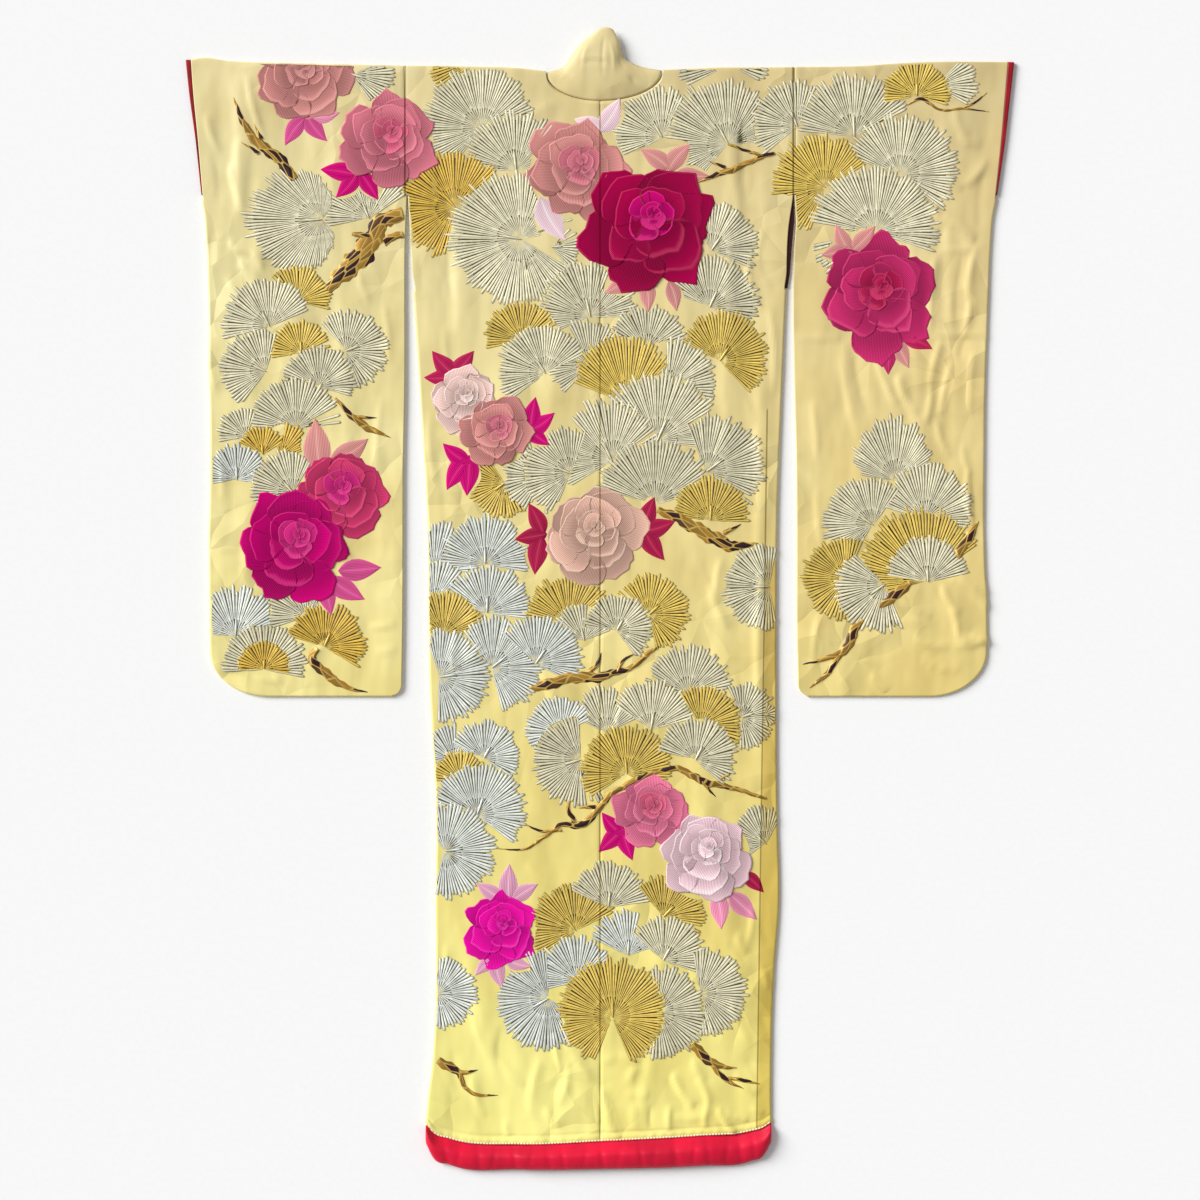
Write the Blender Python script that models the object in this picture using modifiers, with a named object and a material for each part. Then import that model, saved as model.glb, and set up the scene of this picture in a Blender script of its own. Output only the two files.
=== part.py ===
"""Uchikake wedding kimono, laid flat with its back upward.

The cloth is modelled as the pieces a maker sews together: two body panels that
run from the back hem over the shoulder to the front hem, two overlap panels,
two long sleeves, a wide collar, the red cuff edges, and the padded red hem.
Metres; X runs across the back towards the wearer's right, Y from hem to collar,
Z up from the surface that the garment lies on.
"""

import math

import bmesh
import bpy
import numpy as np

MM = 0.001

# Cloth and how its layers lie on each other (heights are to mid-wall).
WALL = 2.0 * MM
SEAM_GAP = 0.3 * MM
LAYER_GAP = 0.4 * MM
FLOOR_LAYER = WALL / 2
SECOND_LAYER = FLOOR_LAYER + WALL + LAYER_GAP
UPPER_LAYER = 5.0 * MM
CENTRE_LIFT = 2.0 * MM
EDGE_INSET = 2.8 * MM

# Levels across the garment, measured from its middle.
SHOULDER_LEVEL = 0.860
ARMHOLE_LEVEL = 0.655
SIDE_OPENING_LEVEL = 0.502
OPENING_BLEND = 0.030
HEM_LEVEL = -0.872
SLEEVE_END_LEVEL = -0.157
SHOULDER_BLEND = 0.200
HEM_BLEND = 0.160

# Neck: an ellipse cut into the back, its ends on the shoulder line.
NECK_FOOT = 0.8063
NECK_ENDS = {"left": (-0.0875, 0.8515), "right": (0.1020, 0.8545)}

# Where the overlap panels and the front runs of the collar lie.
OVERLAP_SEAM = {"left": -0.0250, "right": 0.0612}
FRONT_EDGE = {"left": 0.1250, "right": -0.0890}
COLLAR_FOOT_LEVEL = -0.050
COLLAR_FOOT_WIDTH = 0.055
COLLAR_FRONT_WIDTH = 0.110
SEAM_SIDE = 0.2 * MM

SIGN = {"left": -1.0, "right": 1.0}

# Outer edge of the two body panels: level, left x, right x.
BODY_EDGE_NAMES = ("level", "left", "right")
BODY_EDGES = (
    (-0.868, -0.2819, 0.2770),
    (-0.812, -0.2770, 0.2765),
    (-0.747, -0.2705, 0.2770),
    (-0.617, -0.2650, 0.2805),
    (-0.488, -0.2657, 0.2895),
    (-0.360, -0.2645, 0.2870),
    (-0.130, -0.2754, 0.2850),
    (0.160, -0.2803, 0.2870),
    (0.290, -0.2884, 0.2920),
    (0.420, -0.2965, 0.2972),
    (0.502, -0.3020, 0.3013),
    (0.600, -0.3075, 0.3048),
    (0.655, -0.3110, 0.3125),
    (0.8625, -0.3170, 0.3155),
)

# Sleeve edges: level, then inner and outer x of each sleeve.
SLEEVE_EDGE_NAMES = ("level", "left_inner", "left_outer", "right_inner", "right_outer")
SLEEVE_EDGES = (
    (-0.160, -0.3215, -0.6300, 0.3215, 0.6253),
    (-0.034, -0.3195, -0.6318, 0.3190, 0.6265),
    (0.096, -0.3190, -0.6330, 0.3190, 0.6220),
    (0.225, -0.3185, -0.6305, 0.3180, 0.6220),
    (0.355, -0.3160, -0.6318, 0.3150, 0.6237),
    (0.485, -0.3160, -0.6334, 0.3130, 0.6286),
    (0.565, -0.3158, -0.6366, 0.3145, 0.6318),
    (0.610, -0.3145, -0.6390, 0.3172, 0.6350),
    (0.655, -0.3125, -0.6430, 0.3148, 0.6400),
    (0.744, -0.3140, -0.6510, 0.3150, 0.6496),
    (0.809, -0.3157, -0.6580, 0.3155, 0.6555),
    (0.870, -0.3174, -0.6625, 0.3159, 0.6608),
)

# Shoulder fold from left cuff to right cuff: x, level.
SHOULDER_NAMES = ("x", "level")
SHOULDER_FOLD = (
    (-0.6626, 0.8735),
    (-0.6480, 0.8765),
    (-0.6000, 0.8716),
    (-0.4860, 0.8680),
    (-0.3170, 0.8642),
    (-0.2430, 0.8635),
    (-0.1300, 0.8586),
    (-0.0875, 0.8543),
    (0.1020, 0.8573),
    (0.1944, 0.8600),
    (0.3240, 0.8620),
    (0.4210, 0.8635),
    (0.4860, 0.8680),
    (0.5350, 0.8700),
    (0.6600, 0.8700),
)

# Hem: x, seam of cloth and padding, lower end of the padding.
HEM_NAMES = ("x", "seam", "end")
HEM = (
    (-0.2819, -0.8470, -0.8790),
    (-0.2720, -0.8600, -0.9000),
    (-0.2430, -0.8720, -0.9145),
    (-0.1300, -0.8810, -0.9220),
    (0.0000, -0.8760, -0.9212),
    (0.1620, -0.8670, -0.9160),
    (0.2430, -0.8600, -0.9090),
    (0.2660, -0.8530, -0.8980),
    (0.2770, -0.8450, -0.8780),
)

# Largest soft folds of the upper cloth.
# Columns: x and y at one end, x and y at the other, half width, rise.
BODY_FOLDS = (
    (0.215, 0.800, 0.200, 0.180, 0.018, 2.6 * MM),
    (0.262, 0.420, 0.255, -0.250, 0.018, 2.4 * MM),
    (0.150, -0.250, 0.228, -0.620, 0.022, 2.2 * MM),
    (-0.235, 0.760, -0.222, 0.330, 0.022, 2.0 * MM),
    (-0.200, 0.100, -0.215, -0.330, 0.024, 2.2 * MM),
    (-0.060, 0.560, -0.085, 0.120, 0.026, 1.6 * MM),
    (0.060, 0.020, 0.045, -0.420, 0.026, 1.6 * MM),
    (-0.225, -0.520, -0.160, -0.800, 0.022, 3.0 * MM),
    (-0.060, -0.680, -0.010, -0.850, 0.020, 3.2 * MM),
    (0.090, -0.720, 0.060, -0.860, 0.020, 3.4 * MM),
    (0.130, -0.640, 0.215, -0.840, 0.022, 3.4 * MM),
)
SLEEVE_FOLDS = (
    (-0.585, 0.850, -0.578, 0.560, 0.018, 2.8 * MM),
    (-0.545, 0.760, -0.560, 0.420, 0.020, 2.0 * MM),
    (-0.420, 0.560, -0.400, 0.080, 0.024, 1.8 * MM),
    (-0.575, 0.200, -0.560, -0.090, 0.022, 2.2 * MM),
    (0.500, 0.800, 0.522, 0.100, 0.020, 3.0 * MM),
    (0.556, 0.830, 0.580, 0.180, 0.018, 3.4 * MM),
    (0.600, 0.740, 0.604, 0.300, 0.014, 2.6 * MM),
    (0.440, 0.300, 0.380, -0.060, 0.024, 2.0 * MM),
    (0.500, 0.060, 0.600, -0.050, 0.020, 3.0 * MM),
    (0.400, 0.840, 0.380, 0.600, 0.022, 2.0 * MM),
)

# Rows and columns of the cloth grids.
BODY_LEVELS = np.concatenate((
    np.linspace(HEM_LEVEL, SIDE_OPENING_LEVEL, 23),
    np.linspace(SIDE_OPENING_LEVEL, ARMHOLE_LEVEL, 4)[1:],
    np.linspace(ARMHOLE_LEVEL, SHOULDER_LEVEL, 5)[1:],
))
NECK_COLUMNS = 5
SHOULDER_COLUMNS = 8
LIFTED_FRONT_COLUMNS = 4
SLEEVE_COLUMNS = 12
SLEEVE_ROWS_BELOW = 14
SLEEVE_ROWS_ABOVE = 4

# Rounded lower corners of the sleeves: how far they reach across and up.
OUTER_CORNER = (0.090, 0.070)
INNER_CORNER = (0.014, 0.016)
CORNER_STEPS = (1.0, 0.975, 0.90, 0.75, 0.50)

# Cuff edge: level and the width that shows outside each sleeve.
CUFF_NAMES = ("level", "left", "right")
CUFF_WIDTHS = (
    (0.655, 1.6 * MM, 2.4 * MM),
    (0.744, 3.6 * MM, 6.2 * MM),
    (0.809, 6.0 * MM, 8.0 * MM),
    (0.870, 8.0 * MM, 9.7 * MM),
)

# Collar round the neck: share of its width from the seam to the free edge,
# then the outline at its left and right folds, the middle of the back, and
# the heights over the middle and at the folds.
HOOD_NAMES = ("share", "left_x", "left_y", "right_x", "right_y", "back_y", "top_z", "fold_z")
HOOD = (
    (0.00, -0.0875, 0.8515, 0.1020, 0.8545, 0.8063, 7.0 * MM, 3.9 * MM),
    (0.20, -0.0600, 0.8600, 0.0660, 0.8610, 0.8300, 13.5 * MM, 5.0 * MM),
    (0.40, -0.0475, 0.8760, 0.0395, 0.8740, 0.8530, 17.0 * MM, 6.0 * MM),
    (0.60, -0.0370, 0.8910, 0.0330, 0.8890, 0.8770, 18.5 * MM, 6.5 * MM),
    (0.80, -0.0230, 0.9050, 0.0292, 0.9040, 0.9000, 17.0 * MM, 6.5 * MM),
    (1.00, -0.0050, 0.9160, 0.0225, 0.9165, 0.9240, 13.0 * MM, 6.5 * MM),
)
HOOD_CLEARANCE = (0.3 * MM, 2.0 * MM)
HOOD_LEAN = 0.010
HOOD_ANGLES = np.radians(np.linspace(-90.0, 90.0, 2 * NECK_COLUMNS + 1))
UNDER_SHARES = (0.05, 0.16, 0.38, 0.66)
RUN_SHARES = np.linspace(0.0, 1.0, 8)
RUN_DROP = 0.070
RUN_TILT = 0.030
RIGHT_FOLD_LIFT = 1.6 * MM

# Padded hem: thickness of the front rolls and of the back roll.
FRONT_ROLL = 5.0 * MM
BACK_ROLL = 12.0 * MM
ROLL_EDGE = 2.0 * MM
ROLL_SHARES = np.array((0.0, 0.10, 0.26, 0.46, 0.66, 0.82, 0.94, 1.0))
ROLL_FULL = 0.46
ROLL_END_STEPS = (0.0, EDGE_INSET, 9.0 * MM, 16.0 * MM)
ROLL_END_SCALE = (0.55, 0.80, 0.95, 1.0)

# Lining that shows in the right side opening: level, inner x, outer x.
LINING_NAMES = ("level", "inner", "outer")
SIDE_LINING = (
    (0.504, 0.2960, 0.3035),
    (0.530, 0.2962, 0.3075),
    (0.560, 0.2965, 0.3098),
    (0.590, 0.2970, 0.3122),
    (0.612, 0.2980, 0.3145),
    (0.635, 0.3000, 0.3140),
    (0.652, 0.3020, 0.3134),
)
LINING_LEVEL = 3.0 * MM
LINING_WALL = 1.2 * MM


def named(table, names, name):
    """One named column of a table."""
    return np.array([row[names.index(name)] for row in table])


def smooth(share):
    """Smooth step of a share between 0 and 1."""
    share = np.clip(share, 0.0, 1.0)
    return share * share * (3.0 - 2.0 * share)


def curve(knots, values, at):
    """Cubic curve through the knots, with slopes from their neighbours."""
    slopes = np.gradient(values, knots)
    index = np.clip(np.searchsorted(knots, at) - 1, 0, len(knots) - 2)
    width = knots[index + 1] - knots[index]
    share = np.clip((at - knots[index]) / width, 0.0, 1.0)
    rest = 1.0 - share
    start = values[index] * (1.0 + 2.0 * share) * rest * rest
    end = values[index + 1] * share * share * (3.0 - 2.0 * share)
    bend = share * rest * width * (slopes[index] * rest - slopes[index + 1] * share)
    return start + end + bend


def shoulder_y(x):
    """Level of the shoulder fold at x."""
    knots = named(SHOULDER_FOLD, SHOULDER_NAMES, "x")
    return curve(knots, named(SHOULDER_FOLD, SHOULDER_NAMES, "level"), x)


def neck_y(x):
    """Level of the neckline cut into the back at x."""
    x = np.asarray(x)
    level = np.empty_like(x)
    for side, (end_x, end_y) in NECK_ENDS.items():
        here = x * SIGN[side] >= 0.0
        across = np.clip(x[here] / end_x, 0.0, 1.0)
        level[here] = end_y - (end_y - NECK_FOOT) * np.sqrt(1.0 - across ** 2)
    return level


def hem_y(x, name):
    """Level of the hem seam, or of the padding's lower end, at x."""
    return curve(named(HEM, HEM_NAMES, "x"), named(HEM, HEM_NAMES, name), x)


def column_shares(side):
    """Shares across one back panel where its columns of points stand."""
    neck_x = NECK_ENDS[side][0] + SIGN[side] * SEAM_GAP
    neck_share = neck_x / body_edge_x(side, BODY_LEVELS[-1])
    neck = np.sin(np.linspace(0.0, math.pi / 2, NECK_COLUMNS + 1)) * neck_share
    return np.concatenate((neck, np.linspace(neck_share, 1.0, SHOULDER_COLUMNS + 1)[1:]))


def hem_columns():
    """Places along the hem where the back's columns of points end."""
    places = []
    for side in ("left", "right"):
        corner = body_edge_x(side, HEM_LEVEL) - SIGN[side] * EDGE_INSET
        places.append(corner * column_shares(side))
    return np.sort(np.concatenate((places[0], places[1][1:])))


def hem_seam(x):
    """Seam of cloth and padding: straight from one column of the back to the next."""
    places = hem_columns()
    return np.interp(x, places, hem_y(places, "seam"))


def body_edge_x(side, levels):
    """Outer edge of one body panel."""
    knots = named(BODY_EDGES, BODY_EDGE_NAMES, "level")
    return curve(knots, named(BODY_EDGES, BODY_EDGE_NAMES, side), levels)


def collar_seam_x(side, levels):
    """Straight seam of collar and front, from the neck down to the collar's foot."""
    neck_x, neck_level = NECK_ENDS[side]
    foot_x = FRONT_EDGE[side] + SIGN[side] * COLLAR_FOOT_WIDTH
    share = (neck_level - levels) / (neck_level - COLLAR_FOOT_LEVEL)
    return neck_x + (foot_x - neck_x) * share


def fold_rise(folds, x, y):
    """Sum of soft ridges: a bell across each fold line, fading to its two ends."""
    rise = np.zeros_like(x)
    for x0, y0, x1, y1, half_width, height in folds:
        along = np.array((x1 - x0, y1 - y0))
        length = math.hypot(along[0], along[1])
        share = ((x - x0) * along[0] + (y - y0) * along[1]) / length ** 2
        across = ((x - x0) * along[1] - (y - y0) * along[0]) / length
        fade = np.sin(np.pi * np.clip(share, 0.0, 1.0))
        rise += height * np.exp(-(across / half_width) ** 2) * np.sqrt(fade)
    return rise


def body_height(x, y):
    """Mid-wall height of the back: higher where both fronts lie under it."""
    lift = smooth((x + 0.200) / 0.070) * smooth((0.255 - x) / 0.070)
    return UPPER_LAYER + CENTRE_LIFT * lift + fold_rise(BODY_FOLDS, x, y)


def sleeve_height(x, y):
    """Mid-wall height of a sleeve's upper layer."""
    return UPPER_LAYER + fold_rise(SLEEVE_FOLDS, x, y)


def outward_of(points, flip):
    """Unit directions in the plane, square to a run of points."""
    steps = np.gradient(points[:, :2], axis=0)
    outward = np.stack((steps[:, 1], -steps[:, 0]), axis=1) * flip
    return outward / np.linalg.norm(outward, axis=1, keepdims=True)


def fold_strip(upper, lower, outward):
    """Half-round strip that joins an upper and a lower run of points."""
    radius = (upper[:, 2] - lower[:, 2])[:, None] / 2
    rows = [upper]
    for angle in (math.radians(30.0), math.radians(-30.0)):
        row = (upper + lower) / 2
        row[:, :2] += outward * radius * math.cos(angle)
        row[:, 2:] += radius * math.sin(angle)
        rows.append(row)
    rows.append(lower)
    return np.array(rows)


def material_of(name, colour, roughness):
    """Principled finish of one kind of cloth."""
    material = bpy.data.materials.new(name)
    material.use_nodes = True
    shader = material.node_tree.nodes["Principled BSDF"]
    shader.inputs["Base Color"].default_value = (*colour, 1.0)
    shader.inputs["Roughness"].default_value = roughness
    shader.inputs["Metallic"].default_value = 0.0
    material.diffuse_color = (*colour, 1.0)
    return material


def add_object(name, mesh, material, parts):
    """Name a mesh as one piece of the garment."""
    piece = bpy.data.objects.new(name, mesh)
    piece.data.materials.append(material)
    parts.objects.link(piece)
    return piece


def cloth(name, patches, material, parts, wall=WALL):
    """Open sheet skinned over grids of points, sewn at shared edges, with a wall."""
    shape = bmesh.new()
    for patch in patches:
        corners = [[shape.verts.new(point) for point in row] for row in patch]
        for near, far in zip(corners, corners[1:]):
            for column in range(len(near) - 1):
                shape.faces.new((near[column], near[column + 1], far[column + 1], far[column]))
    bmesh.ops.remove_doubles(shape, verts=shape.verts, dist=0.00001)
    bmesh.ops.recalc_face_normals(shape, faces=shape.faces)
    mesh = bpy.data.meshes.new(name)
    shape.to_mesh(mesh)
    shape.free()
    piece = add_object(name, mesh, material, parts)
    thickness = piece.modifiers.new("wall", "SOLIDIFY")
    thickness.thickness = wall
    thickness.offset = 0.0
    thickness.use_even_offset = True
    return piece


def solid_loft(name, sections, material, parts):
    """Closed solid through a run of closed sections, capped at both ends."""
    shape = bmesh.new()
    rings = [[shape.verts.new(point) for point in section] for section in sections]
    count = len(rings[0])
    for near, far in zip(rings, rings[1:]):
        for index in range(count):
            after = (index + 1) % count
            shape.faces.new((near[index], near[after], far[after], far[index]))
    shape.faces.new(rings[0])
    shape.faces.new(rings[-1][::-1])
    bmesh.ops.recalc_face_normals(shape, faces=shape.faces)
    mesh = bpy.data.meshes.new(name)
    shape.to_mesh(mesh)
    shape.free()
    return add_object(name, mesh, material, parts)


def flat_piece(name, outline, height, material, parts):
    """Flat cut of cloth: a filled outline with the wall's thickness."""
    flat = bpy.data.curves.new(name, "CURVE")
    flat.dimensions = "2D"
    flat.fill_mode = "BOTH"
    flat.extrude = WALL / 2
    spline = flat.splines.new("POLY")
    spline.points.add(len(outline) - 1)
    for point, (x, y) in zip(spline.points, outline):
        point.co = (x, y, 0.0, 1.0)
    spline.use_cyclic_u = True
    piece = add_object(name, flat, material, parts)
    piece.location = (0.0, 0.0, height)
    return piece


def level_grid(x, levels, top, bottom, top_level, bottom_level):
    """Heights in the plane of a grid whose first and last rows follow two edges."""
    upward = smooth((levels - top_level + SHOULDER_BLEND) / SHOULDER_BLEND)[:, None]
    downward = smooth((bottom_level + HEM_BLEND - levels) / HEM_BLEND)[:, None]
    return levels[:, None] + (top - top_level) * upward + (bottom - bottom_level) * downward


def body_panel(side, material, parts):
    """Back and front of one side in one length, folded at the shoulder.

    Below the side opening the fold at the outer edge joins back and front.
    """
    sign = SIGN[side]
    levels = BODY_LEVELS
    closed = smooth((SIDE_OPENING_LEVEL + OPENING_BLEND - levels) / OPENING_BLEND)
    edge = body_edge_x(side, levels) - sign * EDGE_INSET * closed
    neck_x = NECK_ENDS[side][0] + sign * SEAM_GAP
    back_x = edge[:, None] * column_shares(side)[None, :]
    back_x[:, 0] = sign * SEAM_GAP / 2
    top = shoulder_y(back_x[-1]) - EDGE_INSET
    top[:NECK_COLUMNS + 1] = neck_y(back_x[-1, :NECK_COLUMNS + 1])
    back_y = level_grid(back_x, levels, top, hem_seam(back_x[0]), SHOULDER_LEVEL, HEM_LEVEL)
    back = np.stack((back_x, back_y, body_height(back_x, back_y)), axis=2)

    seam = collar_seam_x(side, levels)
    inner = np.where(seam * sign > OVERLAP_SEAM[side] * sign, seam, OVERLAP_SEAM[side])
    inner = inner + sign * SEAM_SIDE
    inner[-1] = neck_x
    share = np.linspace(0.0, 1.0, SHOULDER_COLUMNS + 1)
    front_x = inner[:, None] + (edge - inner)[:, None] * share[None, :]
    front_y = level_grid(
        front_x, levels, back_y[-1, NECK_COLUMNS:], hem_seam(front_x[0]),
        SHOULDER_LEVEL, HEM_LEVEL,
    )
    front_y[:, -1] = back_y[:, -1]
    front_z = np.full_like(front_x, FLOOR_LAYER)
    if side == "right":
        front_z[:, :LIFTED_FRONT_COLUMNS] = SECOND_LAYER
    front = np.stack((front_x, front_y, front_z), axis=2)

    shoulder = fold_strip(back[-1, NECK_COLUMNS:], front[-1], np.array((0.0, 1.0)))
    sewn = levels <= SIDE_OPENING_LEVEL + MM
    upper = back[sewn, -1]
    side_fold = fold_strip(upper, front[sewn, -1], outward_of(upper, sign))
    return cloth(f"body_{side}", (back, front, shoulder, side_fold), material, parts)


def sleeve_levels():
    """Rows of a sleeve, close together where its lower corners are round."""
    corner = [SLEEVE_END_LEVEL + OUTER_CORNER[1] * (1.0 - step) for step in CORNER_STEPS]
    corner_top = SLEEVE_END_LEVEL + OUTER_CORNER[1]
    return np.concatenate((
        corner,
        np.linspace(corner_top, ARMHOLE_LEVEL, SLEEVE_ROWS_BELOW),
        np.linspace(ARMHOLE_LEVEL, SHOULDER_LEVEL, SLEEVE_ROWS_ABOVE + 1)[1:],
    ))


def sleeve_grid(side):
    """Upper layer of a sleeve as a grid of points, from its end to the shoulder."""
    sign = SIGN[side]
    levels = sleeve_levels()
    knots = named(SLEEVE_EDGES, SLEEVE_EDGE_NAMES, "level")
    inner = curve(knots, named(SLEEVE_EDGES, SLEEVE_EDGE_NAMES, f"{side}_inner"), levels)
    armhole = levels >= ARMHOLE_LEVEL + MM
    inner[armhole] = body_edge_x(side, levels[armhole]) + sign * SEAM_GAP
    outer = curve(knots, named(SLEEVE_EDGES, SLEEVE_EDGE_NAMES, f"{side}_outer"), levels)
    closed = smooth((ARMHOLE_LEVEL - levels) / 0.040)
    outer = outer - sign * EDGE_INSET * closed
    for (reach, rise), edge, towards in ((OUTER_CORNER, outer, -sign), (INNER_CORNER, inner, sign)):
        into = np.clip((SLEEVE_END_LEVEL + rise - levels) / rise, 0.0, 1.0)
        edge += towards * reach * (1.0 - np.sqrt(1.0 - into ** 2))
    across = np.linspace(0.0, 1.0, SLEEVE_COLUMNS + 1)
    x = inner[:, None] + (outer - inner)[:, None] * across[None, :]
    top = shoulder_y(x[-1]) - EDGE_INSET
    bottom = np.full_like(x[0], SLEEVE_END_LEVEL + EDGE_INSET)
    y = level_grid(x, levels, top, bottom, SHOULDER_LEVEL, SLEEVE_END_LEVEL)
    return np.stack((x, y, sleeve_height(x, y)), axis=2), levels


def sleeve(side, material, parts):
    """Long sleeve: a flat bag, open at the cuff and along the body."""
    upper, levels = sleeve_grid(side)
    lower = upper.copy()
    lower[:, :, 2] = FLOOR_LAYER
    top_fold = fold_strip(upper[-1], lower[-1], np.array((0.0, 1.0)))
    sewn = np.flatnonzero(levels < ARMHOLE_LEVEL - MM)[::-1]
    outline = np.concatenate((upper[sewn, -1], upper[0, -2::-1]))
    under = outline.copy()
    under[:, 2] = FLOOR_LAYER
    end_fold = fold_strip(outline, under, outward_of(outline, -SIGN[side]))
    return cloth(f"sleeve_{side}", (upper, lower, top_fold, end_fold), material, parts)


def cuff_edge(side, material, parts):
    """Red edge of the lining, along the cuff opening and round the shoulder fold."""
    upper, levels = sleeve_grid(side)
    lower = upper.copy()
    lower[:, :, 2] = FLOOR_LAYER
    open_rows = levels >= ARMHOLE_LEVEL - MM
    fold = fold_strip(upper[-1], lower[-1], np.array((0.0, 1.0)))
    path = np.concatenate((upper[open_rows, -1], fold[1:-1, -1], lower[open_rows, -1][::-1]))
    knots = named(CUFF_WIDTHS, CUFF_NAMES, "level")
    width = np.interp(path[:, 1], knots, named(CUFF_WIDTHS, CUFF_NAMES, side))
    columns = []
    for share in (0.0, 0.5, 1.0):
        column = path.copy()
        column[:, 0] += SIGN[side] * (SEAM_GAP + width * share)
        columns.append(column)
    return cloth(f"cuff_{side}", (np.array(columns),), material, parts)


def overlap_panel(side, material, parts):
    """Overlap panel: straight on the body side, slanted along the collar."""
    sign = SIGN[side]
    height = FLOOR_LAYER if side == "left" else SECOND_LAYER
    body_side = OVERLAP_SEAM[side] - sign * SEAM_SIDE
    front_edge = FRONT_EDGE[side]
    tip_width = 0.010
    levels = np.linspace(COLLAR_FOOT_LEVEL - SEAM_GAP, SHOULDER_LEVEL, 400)
    slant = collar_seam_x(side, levels) + sign * SEAM_SIDE
    tip = np.flatnonzero((body_side - slant) * sign > tip_width)[-1]
    hem_x = np.linspace(body_side, front_edge, 5)
    outline = list(zip(hem_x, hem_seam(hem_x)))
    outline += [
        (front_edge, COLLAR_FOOT_LEVEL - SEAM_GAP),
        (slant[0], COLLAR_FOOT_LEVEL - SEAM_GAP),
        (slant[tip], levels[tip]),
        (body_side, levels[tip]),
    ]
    return flat_piece(f"overlap_{side}", outline, height, material, parts)


def hood_rows():
    """Cross lines of the collar round the back of the neck, fold to fold."""
    share, left_x, left_y, right_x, right_y, back_y, top_z, fold_z = (
        named(HOOD, HOOD_NAMES, name) for name in HOOD_NAMES
    )
    rows = []
    for angle in HOOD_ANGLES:
        across = math.sin(angle)
        facing = max(math.cos(angle), 0.0)
        middle = HOOD_LEAN * share
        side_x = right_x if across > 0.0 else left_x
        side_y = right_y if across > 0.0 else left_y
        base_fold = fold_z + RIGHT_FOLD_LIFT * smooth(across)
        x = middle + (side_x - middle) * abs(across)
        y = side_y + (back_y - side_y) * facing
        z = base_fold + (top_z - base_fold) * facing ** 0.6
        clearance = np.interp(abs(across), (0.0, 1.0), HOOD_CLEARANCE)
        x[0] -= clearance * across
        y[0] += clearance * facing
        rows.append(np.stack((x, y, z), axis=1))
    return rows


def run_rows(side):
    """Cross lines of the collar down one front, from under the neck to its foot."""
    sign = SIGN[side]
    height = FLOOR_LAYER if side == "left" else SECOND_LAYER
    neck_level = NECK_ENDS[side][1]
    start = neck_level - RUN_DROP
    rows = []
    for along in RUN_SHARES:
        level = start + (COLLAR_FOOT_LEVEL - start) * along
        seam = collar_seam_x(side, level) - sign * SEAM_SIDE
        width = COLLAR_FRONT_WIDTH + (COLLAR_FOOT_WIDTH - COLLAR_FRONT_WIDTH) * along
        rise = RUN_TILT * (1.0 - along) ** 2
        share = named(HOOD, HOOD_NAMES, "share")
        x = seam - sign * width * share
        y = level + rise * share
        rows.append(np.stack((x, y, np.full_like(x, height)), axis=1))
    return rows


def collar(material, parts):
    """Wide collar: a band down both fronts that stands round the back of the neck."""
    hood = hood_rows()
    turned = {}
    for side, fold_row in (("left", hood[0]), ("right", hood[-1])):
        run = run_rows(side)
        height = run[0][0, 2]
        under = []
        for share in UNDER_SHARES:
            row = fold_row + (run[0] - fold_row) * share
            drop = smooth(share / UNDER_SHARES[1])
            row[:, 2] = fold_row[:, 2] + (height - fold_row[:, 2]) * drop
            fold_x = row[0, 0]
            seam = collar_seam_x(side, row[0, 1]) - SIGN[side] * HOOD_CLEARANCE[1]
            row[0, 0] = min(fold_x, seam) if side == "right" else max(fold_x, seam)
            under.append(row)
        turned[side] = under + run
    band = np.array(turned["left"][::-1] + hood + turned["right"])
    return cloth("collar", (band,), material, parts)


def roll_profile(thickness):
    """Upper and lower line of a padded roll, from its seam to its rounded end."""
    beyond = np.clip((ROLL_SHARES - ROLL_FULL) / (1.0 - ROLL_FULL), 0.0, 1.0)
    end_round = np.sqrt(1.0 - beyond ** 2)
    body = ROLL_EDGE + (thickness - ROLL_EDGE) * smooth(ROLL_SHARES / ROLL_FULL)
    lift = 0.30 * thickness
    upper = np.where(beyond > 0.0, lift + (thickness - lift) * end_round, body)
    lower = np.where(beyond > 0.0, lift * (1.0 - end_round), 0.0)
    return upper, lower


def roll_stations():
    """Shared places of the hem rolls' sections, so that stacked faces stay parallel."""
    places = set(hem_columns())
    for end, inward in (
        (HEM[0][0], 1.0), (HEM[-1][0], -1.0), (FRONT_EDGE["left"], -1.0), (FRONT_EDGE["right"], 1.0),
    ):
        steps = {end + inward * step for step in ROLL_END_STEPS}
        places |= {step for step in steps if min(abs(step - place) for place in places) > MM}
    return np.array(sorted(places))


def end_scale(x, ends):
    """Thinning of a roll towards its two ends."""
    distance = min(abs(x - ends[0]), abs(x - ends[1]))
    return float(np.interp(distance, ROLL_END_STEPS, ROLL_END_SCALE))


def hem_roll(name, ends, thickness, lower_stack, material, parts):
    """Padded red roll along the hem, lying on what is stacked under it."""
    sections = []
    for x in roll_stations():
        if not ends[0] - 0.1 * MM <= x <= ends[1] + 0.1 * MM:
            continue
        upper, lower = roll_profile(thickness)
        scale = end_scale(x, ends)
        seam = hem_seam(x) - SEAM_GAP
        y = seam + (hem_y(x, "end") - seam) * ROLL_SHARES
        base = lower_stack(x)
        top = base + np.maximum(upper * scale, lower + 0.3 * MM)
        bottom = base + lower
        loop = [(x, y[i], top[i]) for i in range(len(y))]
        loop[-1] = (x, y[-1], (top[-1] + bottom[-1]) / 2)
        loop += [(x, y[i], bottom[i]) for i in range(len(y) - 2, -1, -1)]
        sections.append(loop)
    return solid_loft(name, sections, material, parts)


def floor_stack(x):
    """Nothing lies under the left front's roll."""
    return np.zeros_like(ROLL_SHARES)


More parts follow.
